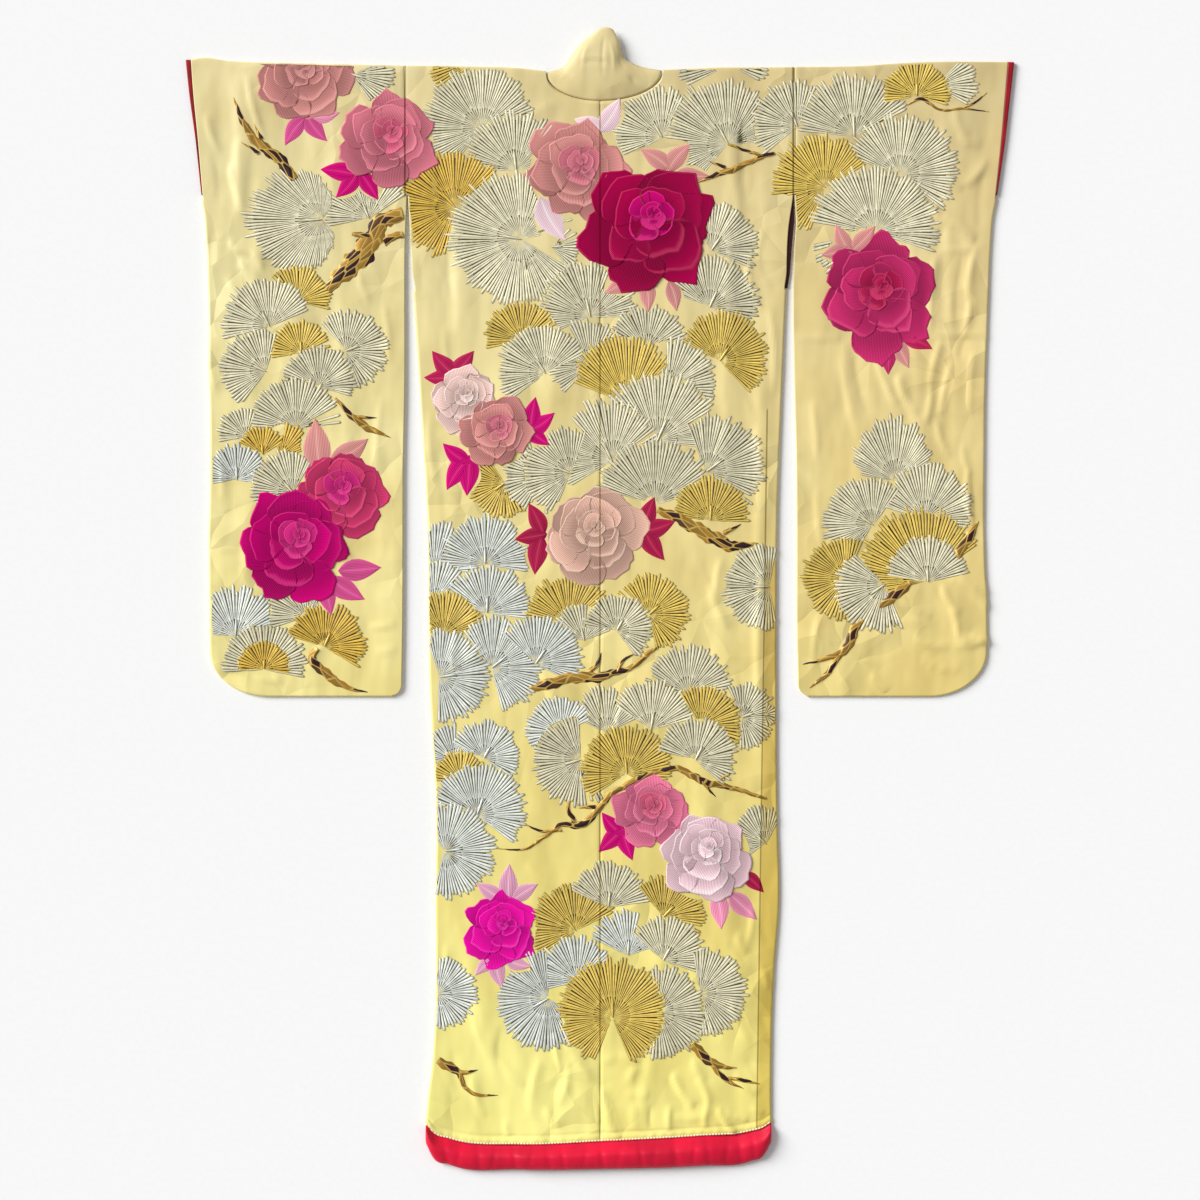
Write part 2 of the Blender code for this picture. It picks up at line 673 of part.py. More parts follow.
def over_left(x):
    """The right front's roll lies on the left one, then comes down to the floor."""
    upper, _ = roll_profile(FRONT_ROLL)
    return (upper + LAYER_GAP) * smooth((0.190 - x) / 0.050)


def over_fronts(x):
    """The back's roll lies on one front roll at the sides and on both between."""
    upper, _ = roll_profile(FRONT_ROLL)
    both = smooth((x + 0.160) / 0.050) * smooth((0.215 - x) / 0.050)
    return (upper + LAYER_GAP) * (1.0 + both)


def side_lining(material, parts):
    """Dark lining that shows between back and sleeve in the right side opening."""
    level, inner, outer = (named(SIDE_LINING, LINING_NAMES, name) for name in LINING_NAMES)
    columns = []
    for share in (0.0, 0.5, 1.0):
        x = inner + (outer - inner) * share
        columns.append(np.stack((x, level, np.full_like(x, LINING_LEVEL)), axis=1))
    return cloth("side_lining", (np.array(columns),), material, parts, wall=LINING_WALL)


def main():
    for old in list(bpy.data.objects):
        bpy.data.objects.remove(old, do_unlink=True)
    parts = bpy.data.collections.new("uchikake")
    bpy.context.scene.collection.children.link(parts)

    silk = material_of("yellow_silk", (0.80, 0.66, 0.33), 0.55)
    red = material_of("red_lining", (0.62, 0.01, 0.03), 0.50)
    maroon = material_of("maroon_lining", (0.05, 0.003, 0.006), 0.60)

    for side in ("left", "right"):
        body_panel(side, silk, parts)
        sleeve(side, silk, parts)
        overlap_panel(side, silk, parts)
        cuff_edge(side, red, parts)
    collar(silk, parts)
    side_lining(maroon, parts)

    left_end = HEM[0][0]
    right_end = HEM[-1][0]
    hem_roll("hem_left", (left_end, FRONT_EDGE["left"]), FRONT_ROLL, floor_stack, red, parts)
    hem_roll("hem_right", (FRONT_EDGE["right"], right_end), FRONT_ROLL, over_left, red, parts)
    hem_roll("hem_back", (left_end, right_end), BACK_ROLL, over_fronts, red, parts)


main()
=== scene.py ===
"""Looks of an uchikake wedding kimono, laid flat with its back upward.

Every piece is a surface worked out with numpy on a grid of two parameters: the silk
is a thin shell with its creases, the hem a padded roll, and the embroidery is laid
cord by cord and petal by petal on the silk's own height.  Metres; X runs across the
back towards the wearer's right, Y from hem to collar, Z up from the floor.
"""

import math

import bmesh
import bpy
import numpy as np
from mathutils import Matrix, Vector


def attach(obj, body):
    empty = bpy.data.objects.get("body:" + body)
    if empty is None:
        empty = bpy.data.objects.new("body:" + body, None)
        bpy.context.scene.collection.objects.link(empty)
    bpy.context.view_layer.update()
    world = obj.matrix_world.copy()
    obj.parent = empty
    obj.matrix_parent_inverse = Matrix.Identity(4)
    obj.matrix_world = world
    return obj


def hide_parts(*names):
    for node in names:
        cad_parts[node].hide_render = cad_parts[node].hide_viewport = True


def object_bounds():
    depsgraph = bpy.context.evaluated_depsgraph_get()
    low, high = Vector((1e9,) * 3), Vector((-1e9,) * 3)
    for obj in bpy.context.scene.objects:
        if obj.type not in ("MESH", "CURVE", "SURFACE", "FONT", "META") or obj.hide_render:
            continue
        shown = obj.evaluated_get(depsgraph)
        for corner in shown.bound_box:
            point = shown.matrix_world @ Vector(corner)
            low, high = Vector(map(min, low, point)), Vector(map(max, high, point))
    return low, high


bl_info = {
    "name": "Uchikake Wedding Kimono",
    "version": (1, 0, 0),
    "blender": (4, 5, 0),
    "location": "View3D > Sidebar > Uchikake",
    "description": "Dresses the packed uchikake: silk, padded hem and embroidery",
    "category": "Add Mesh",
}

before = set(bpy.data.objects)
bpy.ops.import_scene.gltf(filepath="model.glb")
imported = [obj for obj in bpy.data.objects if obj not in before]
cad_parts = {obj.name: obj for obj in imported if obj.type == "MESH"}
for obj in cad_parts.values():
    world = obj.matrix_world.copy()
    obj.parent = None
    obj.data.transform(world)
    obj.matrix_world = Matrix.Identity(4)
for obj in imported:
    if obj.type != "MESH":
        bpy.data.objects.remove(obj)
CAD_BOX = [list(corner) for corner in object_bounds()]

MM = 0.001


def table(names, *rows):
    """Columns of a table by name, the first of them the one it is read against."""
    return dict(zip(names.split(), np.array(rows, dtype=float).T))


# Cloth and how its layers lie on each other (heights are to mid-wall).
WALL = 2.0 * MM
SEAM_GAP = 0.3 * MM
SEAM_SIDE = 0.2 * MM
FLOOR_LAYER = 1.0 * MM
SECOND_LAYER = 3.4 * MM
LAYER_GAP = 0.4 * MM
UPPER_LAYER = 5.0 * MM
EDGE_INSET = 2.8 * MM
FOLD_BLEND = 0.040

# Lift of the back over both fronts, and where: from x to x, over a blend.
CENTRE_LIFT = 2.0 * MM
BACK_LIFT = (-0.200, 0.255, 0.070)

# Levels across the garment, measured from its middle.
SHOULDER_LEVEL = 0.860
ARMHOLE_LEVEL = 0.655
SIDE_OPENING_LEVEL = 0.502
HEM_LEVEL = -0.872
SLEEVE_END_LEVEL = -0.157
SHOULDER_BLEND = 0.200
HEM_BLEND = 0.160

# Neck: an ellipse cut into the back, its ends on the shoulder line.
NECK_FOOT = 0.8063
NECK_ENDS = {"left": (-0.0875, 0.8515), "right": (0.1020, 0.8545)}

# Where the front panels end and the collar runs down.
OVERLAP_SEAM = {"left": -0.0250, "right": 0.0612}
FRONT_EDGE = {"left": 0.1250, "right": -0.0890}
COLLAR_FOOT_LEVEL = -0.050
COLLAR_FOOT_WIDTH = 0.055
COLLAR_FRONT_WIDTH = 0.110
NECK_ROUND = 0.260

SIGN = {"left": -1.0, "right": 1.0}

# Outer edge of the two body panels.
BODY_EDGES = table(
    "level left right",
    (-0.868, -0.2819, 0.2770), (-0.812, -0.2770, 0.2765), (-0.747, -0.2705, 0.2770),
    (-0.617, -0.2650, 0.2805), (-0.488, -0.2657, 0.2895), (-0.360, -0.2645, 0.2870),
    (-0.130, -0.2754, 0.2850), (0.160, -0.2803, 0.2870), (0.290, -0.2884, 0.2920),
    (0.420, -0.2965, 0.2972), (0.502, -0.3020, 0.3013), (0.600, -0.3075, 0.3048),
    (0.655, -0.3110, 0.3125), (0.8625, -0.3170, 0.3155),
)

# Sleeve edges: level, then inner and outer x of each sleeve.
SLEEVE_EDGES = table(
    "level left_inner left_outer right_inner right_outer",
    (-0.160, -0.3215, -0.6300, 0.3215, 0.6253), (-0.034, -0.3195, -0.6318, 0.3190, 0.6265),
    (0.096, -0.3190, -0.6330, 0.3190, 0.6220), (0.225, -0.3185, -0.6305, 0.3180, 0.6220),
    (0.355, -0.3160, -0.6318, 0.3150, 0.6237), (0.485, -0.3160, -0.6334, 0.3130, 0.6286),
    (0.565, -0.3158, -0.6366, 0.3145, 0.6318), (0.610, -0.3145, -0.6390, 0.3172, 0.6350),
    (0.655, -0.3125, -0.6430, 0.3148, 0.6400), (0.744, -0.3140, -0.6510, 0.3150, 0.6496),
    (0.809, -0.3157, -0.6580, 0.3155, 0.6555), (0.870, -0.3174, -0.6625, 0.3159, 0.6608),
)

# Shoulder fold from left cuff to right cuff.
SHOULDER_FOLD = table(
    "x level",
    (-0.6626, 0.8735), (-0.6480, 0.8765), (-0.6000, 0.8716), (-0.4860, 0.8680), (-0.3170, 0.8642),
    (-0.2430, 0.8635), (-0.1300, 0.8586), (-0.0875, 0.8543), (0.1020, 0.8573), (0.1944, 0.8600),
    (0.3240, 0.8620), (0.4210, 0.8635), (0.4860, 0.8680), (0.5350, 0.8700), (0.6600, 0.8700),
)

# Hem: seam of silk and padding, lower end of the padding.
HEM = table(
    "x seam end",
    (-0.2819, -0.8470, -0.8790), (-0.2720, -0.8600, -0.9000), (-0.2430, -0.8720, -0.9145),
    (-0.1300, -0.8810, -0.9220), (0.0000, -0.8760, -0.9212), (0.1620, -0.8670, -0.9160),
    (0.2430, -0.8600, -0.9090), (0.2660, -0.8530, -0.8980), (0.2770, -0.8450, -0.8780),
)

# Creases: start and end of the line, sideways bow at its middle, half width across
# it, and its height, which is negative for a trough.  All in millimetres.  Broad ones
# are round, and those narrower than CRISP come to an edge.
BODY_CREASES = (
    (215, 800, 200, 180, 0, 18, 2.6), (262, 420, 255, -250, 0, 18, 2.6),
    (150, -250, 228, -620, 0, 22, 2.6), (-235, 760, -222, 330, 0, 22, 2.4),
    (-200, 100, -215, -330, 0, 24, 2.4), (-60, 560, -85, 120, 0, 26, 1.8),
    (60, 20, 45, -420, 0, 26, 1.8), (-225, -520, -160, -800, 0, 22, 3.0),
    (-60, -680, -10, -850, 0, 20, 3.0), (90, -720, 60, -860, 0, 20, 3.0),
    (-246, 562, -240, 486, 2, 7, -1.8), (-296, 562, -291, 494, -3, 6, -1.4),
    (-252, 440, -246, 380, 2, 7, 1.7), (-118, 538, -98, 496, 3, 9, 2.3),
    (-276, 300, -268, 190, 4, 8, 2.3), (-262, 720, -256, 640, 3, 7, -1.4),
    (-60, 806, -120, 770, 8, 9, 1.7), (228, 800, 236, 640, 4, 7, -1.8),
    (212, 690, 222, 600, -4, 8, 2.3), (244, 566, 262, 470, 12, 7, 3.5),
    (268, 590, 286, 500, 14, 6, -1.8), (272, 480, 279, 330, -6, 7, 2.9),
    (236, 356, 256, 296, 3, 7, -1.8), (250, 280, 262, 190, -4, 7, 2.6),
    (204, 480, 214, 380, 5, 8, -1.4), (179, 24, 206, -46, 5, 9, 4.6),
    (168, 60, 190, -20, -4, 8, -1.8), (196, 68, 188, -6, 4, 7, 2.9),
    (262, 60, 256, -160, 4, 7, 2.6), (222, -120, 240, -200, -5, 8, -1.8),
    (-262, 230, -250, 60, -4, 8, -1.6), (-226, -40, -240, -130, 5, 8, 2.3),
    (-120, 300, -150, 140, 4, 8, -1.4), (40, -160, 20, -250, 4, 9, 2.3),
    (-96, -110, -60, -180, 5, 9, 2.3), (-240, -360, -226, -480, 4, 8, -1.8),
    (-120, -430, -60, -470, 6, 9, 2.6), (-250, -560, -236, -640, 3, 7, 2.3),
    (-205, -660, -180, -740, 6, 8, 2.6), (-110, -560, -84, -640, 6, 8, 2.3),
    (220, -542, 238, -572, 3, 8, 4.9), (206, -556, 238, -592, -4, 7, -1.8),
    (246, -496, 236, -560, -4, 7, 3.2), (262, -520, 274, -560, 3, 5, -1.8),
    (258, -590, 270, -632, -3, 5, 3.2), (262, -664, 270, -700, 3, 5, -1.8),
    (210, -640, 244, -720, 6, 8, 2.9), (-162, -748, -122, -786, 4, 6, 3.2),
    (-158, -690, -164, -750, 4, 7, -1.6), (-73, -700, -64, -760, 3, 7, 3.5),
    (-97, -744, -114, -832, 4, 10, 3.2), (-52, -744, -68, -816, -6, 8, 4.1),
    (-84, -796, -68, -778, 3, 6, -1.6), (-90, -826, -62, -852, 3, 6, 4.3),
    (-42, -738, -12, -778, 3, 7, 3.8), (-154, -842, -148, -868, 2, 6, 2.6),
    (-208, -770, -186, -836, 5, 9, 2.6), (-238, -730, -228, -800, 4, 8, -1.6),
    (4, -790, 26, -872, 5, 8, 5.8), (-6, -800, 2, -860, -3, 7, -1.8),
    (0, -748, 26, -736, 5, 7, 2.6), (32, -736, 66, -744, 5, 7, 3.5),
    (62, -752, 47, -782, 3, 7, 4.1), (44, -799, 80, -802, 2, 7, 3.2),
    (54, -816, 56, -856, 2, 6, 2.6), (82, -818, 82, -856, 2, 6, -1.8),
    (113, -818, 111, -860, 2, 6, 3.5), (116, -768, 152, -820, 4, 9, 6.4),
    (106, -776, 138, -826, -4, 7, -1.8), (157, -776, 176, -818, -4, 7, 5.5),
    (176, -814, 169, -856, 3, 6, 3.8), (120, -839, 172, -838, 2, 6, 3.8),
    (190, -824, 218, -864, 3, 7, 6.1), (180, -830, 206, -866, -3, 6, -1.8),
    (202, -830, 240, -842, 3, 6, 3.5), (150, -744, 168, -778, 3, 7, 3.5),
    (216, -770, 256, -800, 4, 8, 3.8), (236, -744, 256, -784, -3, 6, -1.8),
    (244, -822, 266, -832, 2, 5, 2.9),
)
SLEEVE_CREASES = (
    (-585, 850, -578, 560, 0, 18, 2.4), (-545, 760, -560, 420, 0, 20, 2.2),
    (-420, 560, -400, 80, 0, 24, 2.0), (-575, 200, -560, -90, 0, 22, 2.4),
    (500, 800, 522, 100, 0, 20, 2.0), (556, 830, 580, 180, 0, 18, 2.2),
    (440, 300, 380, -60, 0, 24, 2.0), (500, 60, 600, -50, 0, 20, 2.6),
    (-636, 786, -616, 726, 5, 7, 3.5), (-628, 720, -618, 640, -4, 7, -1.6),
    (-571, 848, -544, 744, 4, 6, 4.3), (-597, 704, -577, 636, 5, 7, 4.6),
    (-608, 680, -585, 644, -4, 6, -1.8), (-584, 746, -579, 620, 4, 11, 3.5),
    (-600, 578, -566, 560, 5, 7, 5.2), (-568, 564, -546, 534, -4, 6, 4.3),
    (-584, 548, -552, 514, 4, 8, 4.9), (-624, 600, -630, 540, 4, 7, -1.6),
    (-604, 520, -580, 490, 3, 7, 2.9), (-392, 536, -374, 480, 3, 7, 2.6),
    (-350, 480, -342, 380, -3, 7, 2.3), (-352, 330, -362, 200, 4, 9, 2.3),
    (-630, 420, -622, 330, 3, 7, 2.6), (-620, 250, -612, 160, -4, 7, 2.3),
    (-632, 88, -584, 79, 3, 5, 2.0), (-428, 106, -402, 64, 3, 6, 2.3),
    (-374, -45, -330, -40, 2, 5, 2.3), (-362, -84, -328, -80, 2, 5, 2.0),
    (-622, -110, -576, -114, 3, 6, 2.9), (-560, -126, -514, -132, 3, 6, 2.9),
    (-440, -60, -470, -116, 4, 8, 2.6), (538, 642, 556, 612, 3, 7, 4.3),
    (553, 615, 606, 580, -4, 7, 5.8), (545, 600, 592, 568, -4, 6, -1.8),
    (590, 668, 626, 712, 4, 9, 3.8), (580, 746, 618, 736, 3, 7, 3.2),
    (620, 690, 614, 600, 4, 8, -1.8), (574, 800, 590, 748, 5, 8, 3.2),
    (560, 690, 586, 664, 4, 8, 3.5), (559, 610, 542, 552, 3, 8, -1.8),
    (543, 558, 534, 432, 4, 8, 4.3), (608, 568, 596, 484, 4, 8, 4.6),
    (597, 488, 585, 424, -4, 7, 4.9), (588, 560, 576, 440, 5, 7, -1.8),
    (536, 428, 626, 428, 1, 5, 2.3), (316, 423, 390, 423, 1, 5, 1.7),
    (538, 561, 626, 570, 1, 5, 2.0), (392, 416, 418, 258, 4, 12, 3.6),
    (408, 420, 432, 300, 4, 8, -1.8), (446, 388, 482, 316, 4, 8, 4.1),
    (480, 362, 512, 300, 5, 8, 6.1), (470, 340, 500, 290, -4, 7, -1.8),
    (553, 422, 534, 346, 3, 8, 4.3), (535, 350, 526, 286, -3, 7, 3.8),
    (568, 382, 550, 296, 3, 7, 4.1), (592, 424, 582, 386, 3, 7, -1.8),
    (604, 400, 598, 300, 3, 7, 2.6), (543, 292, 566, 230, 4, 7, 3.5),
    (586, 250, 600, 200, 4, 6, 2.6), (602, 216, 613, 92, 4, 7, -1.8),
    (594, 210, 602, 120, 3, 6, 4.1), (545, 18, 571, -20, 4, 7, -1.8),
    (552, 22, 580, -24, 4, 7, 5.2), (567, -14, 579, -62, -3, 6, 5.2),
    (577, -62, 606, -62, 4, 6, 4.9), (600, -62, 632, -70, 2, 6, 4.9),
    (566, 36, 628, -16, -6, 8, 4.9), (576, 44, 632, 10, 4, 7, 2.9), (486, 0, 536, -28, 4, 7, 3.8),
    (452, -35, 536, -36, 1, 5, 2.0), (508, -64, 568, -76, 6, 7, 4.1),
    (566, -76, 626, -64, 5, 6, 3.8), (437, -122, 463, -150, 3, 6, 3.5),
    (350, 180, 360, 80, 3, 7, 2.3), (342, 320, 350, 220, -3, 7, 2.0),
    (356, -20, 344, -110, 3, 7, 2.6), (520, -96, 580, -118, 4, 7, 3.2),
)
UNDER_CREASES = (
    (-230, 600, -210, 100, 6, 16, 1.0), (-120, 300, -150, -300, -8, 18, 0.9),
    (-220, -300, -180, -760, 8, 16, 1.0), (200, 640, 216, 180, -6, 16, 1.0),
    (150, 100, 180, -420, 8, 18, 0.9), (230, -360, 190, -780, -6, 16, 1.0),
    (-560, 760, -540, 300, 6, 16, 1.2), (-420, 420, -450, -60, -8, 18, 1.0),
    (420, 760, 440, 260, 6, 16, 1.2), (560, 500, 540, -40, -8, 18, 1.0),
)
CREASE_LIMIT = 7.5 * MM
TROUGH_LIMIT = 1.5 * MM
CRISP = 12.0 * MM

# Seams pressed into the silk: depth and half width of the groove, and the rolled
# welt that runs along the hem just above the padding.
SEAM_DEPTH = 1.1 * MM
SEAM_HALF = 2.2 * MM
WELT_HEIGHT = 1.2 * MM
WELT_PUCKER = 0.35
WELT_WANDER = 37.0 * MM
WELT_LINE = -0.8 * MM
WELT_PLACE = 5.5 * MM
WELT_HALF = 3.6 * MM
STITCH_PITCH = 14.0 * MM

# Cells of the cloth grids.
CELL_ACROSS = 4.5 * MM
CELL_ALONG = 6.0 * MM
EDGE_STEPS = np.array((0.0, 1.4, 3.2)) * MM
FOLD_ANGLES = np.radians(np.linspace(90.0, -90.0, 7))

# Rounded lower corners of the sleeves: how far they reach across and up.
OUTER_CORNER = (0.090, 0.070)
INNER_CORNER = (0.014, 0.016)

# Cuff edge: level and the width that shows outside each sleeve.
CUFF_WIDTHS = table(
    "level left right",
    (0.655, 1.6 * MM, 2.4 * MM), (0.744, 3.6 * MM, 6.2 * MM), (0.809, 6.0 * MM, 8.0 * MM),
    (0.870, 8.0 * MM, 9.7 * MM),
)

# Collar round the neck: share of its width, outline at its left and right folds,
# the middle of the back, and the heights over the middle and at the folds.
HOOD = table(
    "share left_x left_y right_x right_y back_y top_z fold_z",
    (0.00, -0.0875, 0.8515, 0.1020, 0.8545, 0.8063, 7.0 * MM, 3.9 * MM),
    (0.20, -0.0600, 0.8600, 0.0660, 0.8610, 0.8300, 13.5 * MM, 5.0 * MM),
    (0.40, -0.0475, 0.8760, 0.0395, 0.8740, 0.8530, 17.0 * MM, 6.0 * MM),
    (0.60, -0.0370, 0.8910, 0.0330, 0.8890, 0.8770, 18.5 * MM, 6.5 * MM),
    (0.80, -0.0230, 0.9050, 0.0292, 0.9040, 0.9000, 17.0 * MM, 6.5 * MM),
    (1.00, -0.0050, 0.9160, 0.0225, 0.9165, 0.9240, 13.0 * MM, 6.5 * MM),
)
HOOD_CLEARANCE = (0.3 * MM, 2.0 * MM)
HOOD_LEAN = 0.010
HOOD_TURNS = 57
HOOD_SHARES = np.linspace(0.0, 1.0, 29)
COLLAR_CREASES = (
    (-78, 858, -58, 842, 3, 4, 2.2), (-70, 846, -52, 828, 3, 3, -2.0),
    (-62, 862, -44, 846, 2, 3, -1.6), (-34, 866, 10, 864, -3, 4, -1.8),
    (-30, 872, 14, 871, -3, 4, 1.4), (6, 908, 4, 846, 2, 4, -1.5), (16, 900, 22, 852, -3, 5, 1.4),
    (-20, 896, -28, 850, 3, 4, 1.2), (50, 846, 58, 834, 2, 5, -2.2), (66, 852, 84, 846, 2, 4, 1.2),
    (30, 880, 38, 858, 2, 4, -1.2),
)
UNDER_SHARES = (0.05, 0.16, 0.38, 0.66)
RUN_ROWS = 14
RUN_DROP = 0.070
RUN_TILT = 0.030
RIGHT_FOLD_LIFT = 1.6 * MM

# Padded hem: thickness of the front rolls and of the back roll, and its puckers.
FRONT_ROLL = 5.0 * MM
BACK_ROLL = 12.0 * MM

# Where the right roll lies on the left one (up to x, over a blend), where the back roll
# lies on both (from x to x, over a blend), and the shape of a roll from seam to end.
RIGHT_ROLL_LIFT = (0.190, 0.050)
BACK_ROLL_LIFT = (-0.160, 0.215, 0.050)
ROLL_EDGE = 2.0 * MM
ROLL_FULL = 0.46
ROLL_SHARES = np.sin(np.linspace(0.0, 1.0, 19) * math.pi / 2)
ROLL_END_STEPS = (0.0, EDGE_INSET, 9.0 * MM, 16.0 * MM)
ROLL_END_SCALE = (0.55, 0.80, 0.95, 1.0)
ROLL_STEP = 3.0 * MM
# A pucker's columns: x, half width, depth.
PUCKERS = (
    (-250, 5, 0.10), (-228, 4, 0.07), (-196, 6, 0.12), (-171, 4, 0.08), (-138, 5, 0.11),
    (-112, 4, 0.06), (-83, 6, 0.10), (-60, 4, 0.09), (-24, 5, 0.07), (3, 4, 0.12), (31, 6, 0.08),
    (66, 4, 0.10), (88, 5, 0.06), (121, 6, 0.12), (152, 4, 0.08), (174, 5, 0.10), (205, 4, 0.07),
    (226, 6, 0.13), (248, 4, 0.09),
)

# Pine-needle fans in the order they were sewn, so a later fan covers an earlier one:
# the thread of each run, then for each fan the point its needles spring from, their
# reach, the way it faces and how far it spreads (degrees, anticlockwise from the
# wearer's right), and how much shorter its outer needles are where that is not
# SIDE_SHORTER.  Places in millimetres.
SIDE_SHORTER = 0.1
SEWN_FANS = (
    ("gold", (-205, 872, 74, 206, 70)),
    ("silver", (-191, 762, 103, 115, 232, 0.2), (-136, 695, 97, 96, 166)),
    ("copper", (-235, 635, 95, 132, 250)),
    ("silver", (-78, 570, 50, 5, 110), (-128, 583, 121, 170, 316, 0.2), (215, 868, 97, 188, 34),
     (205, 868, 69, 350, 34), (100, 748, 84, 120, 176), (207, 736, 111, 118, 222, 0.2),
     (319, 765, 78, 112, 214), (411, 750, 103, 92, 164), (543, 831, 71, 8, 74)),
    ("gold", (512, 815, 60, 88, 206)),
    ("silver", (484, 687, 102, 60, 196)),
    ("gold", (364, 667, 93, 142, 232, 0.2)),
    ("silver", (446, 594, 112, 107, 250), (180, 565, 82, 55, 156), (177, 473, 86, 65, 184),
     (-16, 457, 94, 102, 200, 0.2)),
    ("gold", (-126, 418, 68, 90, 200)),
    ("silver", (76, 405, 74, 80, 156), (-15, 379, 78, 125, 200, 0.2), (-89, 366, 82, 122, 190)),
    ("gold", (193, 386, 87, 55, 200, 0.2)),
    ("silver", (110, 342, 85, 62, 152)),
    ("gold", (45, 316, 119, 101, 112, 0.2)),
    ("silver", (92, 256, 116, 66, 146), (19, 224, 104, 115, 190, 0.2), (172, 207, 99, 36, 150)),
    ("gold", (-155, 188, 60, 215, 184)),
    ("silver", (-94, 200, 65, 200, 210), (-47, 204, 82, 158, 174), (89, 154, 109, 90, 146)),
    ("gold", (178, 128, 73, 86, 172)),
    ("silver", (273, 21, 77, 180, 200)),
    ("cool", (-269, 45, 85, 75, 164), (-186, 58, 80, 90, 200), (-269, -5, 71, 75, 164),
     (-183, -21, 80, 88, 190)),
    ("gold", (-254, -57, 74, 80, 176), (-50, -37, 80, 100, 172), (79, -24, 68, 42, 236)),
    ("silver", (-26, -66, 61, 102, 160), (27, -50, 61, 60, 224)),
    ("cool", (-175, -110, 90, 38, 226, 0.2), (-104, -103, 82, 55, 164), (-260, -125, 84, 8, 196)),
    ("silver", (142, -152, 79, 85, 172), (230, -190, 59, 20, 226), (266, -186, 22, 0, 150),
     (10, -215, 76, 90, 126), (82, -210, 84, 80, 128)),
    ("gold", (163, -204, 70, 28, 186)),
    ("cool", (-62, -215, 61, 130, 206)),
    ("silver", (-32, -259, 81, 196, 206)),
    ("gold", (43, -282, 81, 95, 232)),
    ("silver", (154, -259, 71, 62, 204)),
    ("cool", (-235, -262, 63, 105, 156), (-188, -256, 63, 60, 184)),
    ("gold", (-225, -293, 50, 90, 176)),
    ("cool", (-199, -348, 86, 70, 214), (-251, -407, 84, 8, 226)),
    ("silver", (268, -395, 65, 138, 150)),
    ("gold", (-40, -535, 79, 130, 206)),
    ("silver", (13, -497, 75, 82, 146)),
    ("gold", (102, -513, 73, 45, 166)),
    ("cool", (45, -575, 76, 86, 134)),
    ("silver", (102, -583, 75, 60, 156)),
    ("cool", (-36, -617, 75, 115, 156), (-262, -637, 65, 0, 184), (-84, -645, 88, 210, 236)),
    ("silver", (161, -637, 80, 0, 196), (94, -666, 81, -20, 236)),
    ("gold", (20, -676, 98, 90, 312, 0.2)),
    ("silver", (-402, 850, 71, -16, 76), (-374, 617, 82, 112, 156),
     (-450, 615, 128, 183, 256, 0.78)),
    ("gold", (-489, 482, 60, 76, 176)),
    ("silver", (-535, 442, 82, 116, 184), (-411, 402, 70, 22, 214)),
    ("gold", (-484, 399, 55, 90, 194)),
    ("silver", (-541, 369, 76, 154, 156), (-455, 345, 67, 76, 184), (-492, 278, 84, 90, 174),
     (-573, 264, 50, 130, 120)),
    ("copper", (-517, 232, 58, 62, 96), (-546, 235, 48, 92, 116)),
    ("cool", (-588, 194, 59, 90, 194)),
    ("silver", (-497, 173, 74, 130, 140)),
    ("cool", (-590, -60, 82, 86, 174)),
    ("silver", (-475, -28, 69, 118, 156)),
    ("copper", (-446, -76, 72, 66, 192)),
    ("silver", (-543, -113, 76, 86, 192)),
    ("copper", (-544, -112, 47, 86, 190)),
    ("silver", (478, 192, 108, 98, 142, 0.42), (525, 130, 94, 76, 172, 0.22),
     (441, 121, 86, 146, 184, 0.15)),
    ("gold", (398, 34, 74, 180, 224), (528, 31, 122, 116, 160, 0.15)),
    ("silver", (530, 29, 76, 92, 156), (460, 24, 83, 214, 156)),
)
FANS = [
    (*fan[:5], fan[5] if len(fan) > 5 else SIDE_SHORTER, thread)
    for thread, *fans in SEWN_FANS for fan in fans
]

# Fans whose base lies nearer the middle than this are sewn on the body, not a sleeve.
BODY_FAN_REACH = 320

# Tint of each thread, laid over its metal's own colour, and how it darkens along a needle.
THREADS = {"silver": "#FDF6D8", "cool": "#F8FCF8", "gold": "#FFF4DC", "copper": "#FFEAB8"}
NEEDLE_SHADES = ((0.0, 0.78), (0.35, 0.94), (0.75, 1.0), (0.94, 0.92), (1.0, 0.66))

# Couched needles: the filling under them and the lift of each fan over the last; the
# shares of a needle where it is drawn, and its taper there; the shares where needles
# spring, in turn.
GROUND_RISE = 0.12 * MM
FAN_LIFT = 0.004 * MM
NEEDLE_STATIONS = np.array((0.0, 0.14, 0.28, 0.42, 0.56, 0.70, 0.84, 0.93, 0.98, 1.0))
NEEDLE_TAPER = np.array((1.0, 1.0, 1.0, 1.0, 1.0, 1.0, 1.0, 0.95, 0.70, 0.30))
NEEDLE_STARTS = np.array((0.05, 0.34, 0.16, 0.34))

# The lens-shaped stem at a fan's base.
STEM_REACH = 0.34
STEM_HALF = 2.5 * MM
STEM_RISE = 2.1 * MM

# Samples along a ray that find what shows of it, the fewest that make a needle, how far
# needles sway as a share of their pitch, how they and their fans differ in length and
# tone, how much of their pitch they fill, their slope, the rise of their tips, and the
# span of the filling as shares of a needle.
CLIP_SAMPLES = 30
SHORTEST_RUN = 3
NEEDLE_SWAY = 0.12
NEEDLE_LENGTHS = (0.89, 1.04)
NEEDLE_TONES = (0.82, 1.08)
FAN_TONES = (0.92, 1.06)
NEEDLE_FILL = 0.46
NEEDLE_SLOPE = 0.56
NEEDLE_TIP = 0.5 * MM
FILLING_SPAN = (0.05, 0.87)

# Shares of their size within which fans and blooms hide an earlier fan.
FAN_COVER = 0.93
BLOOM_COVER = 0.90

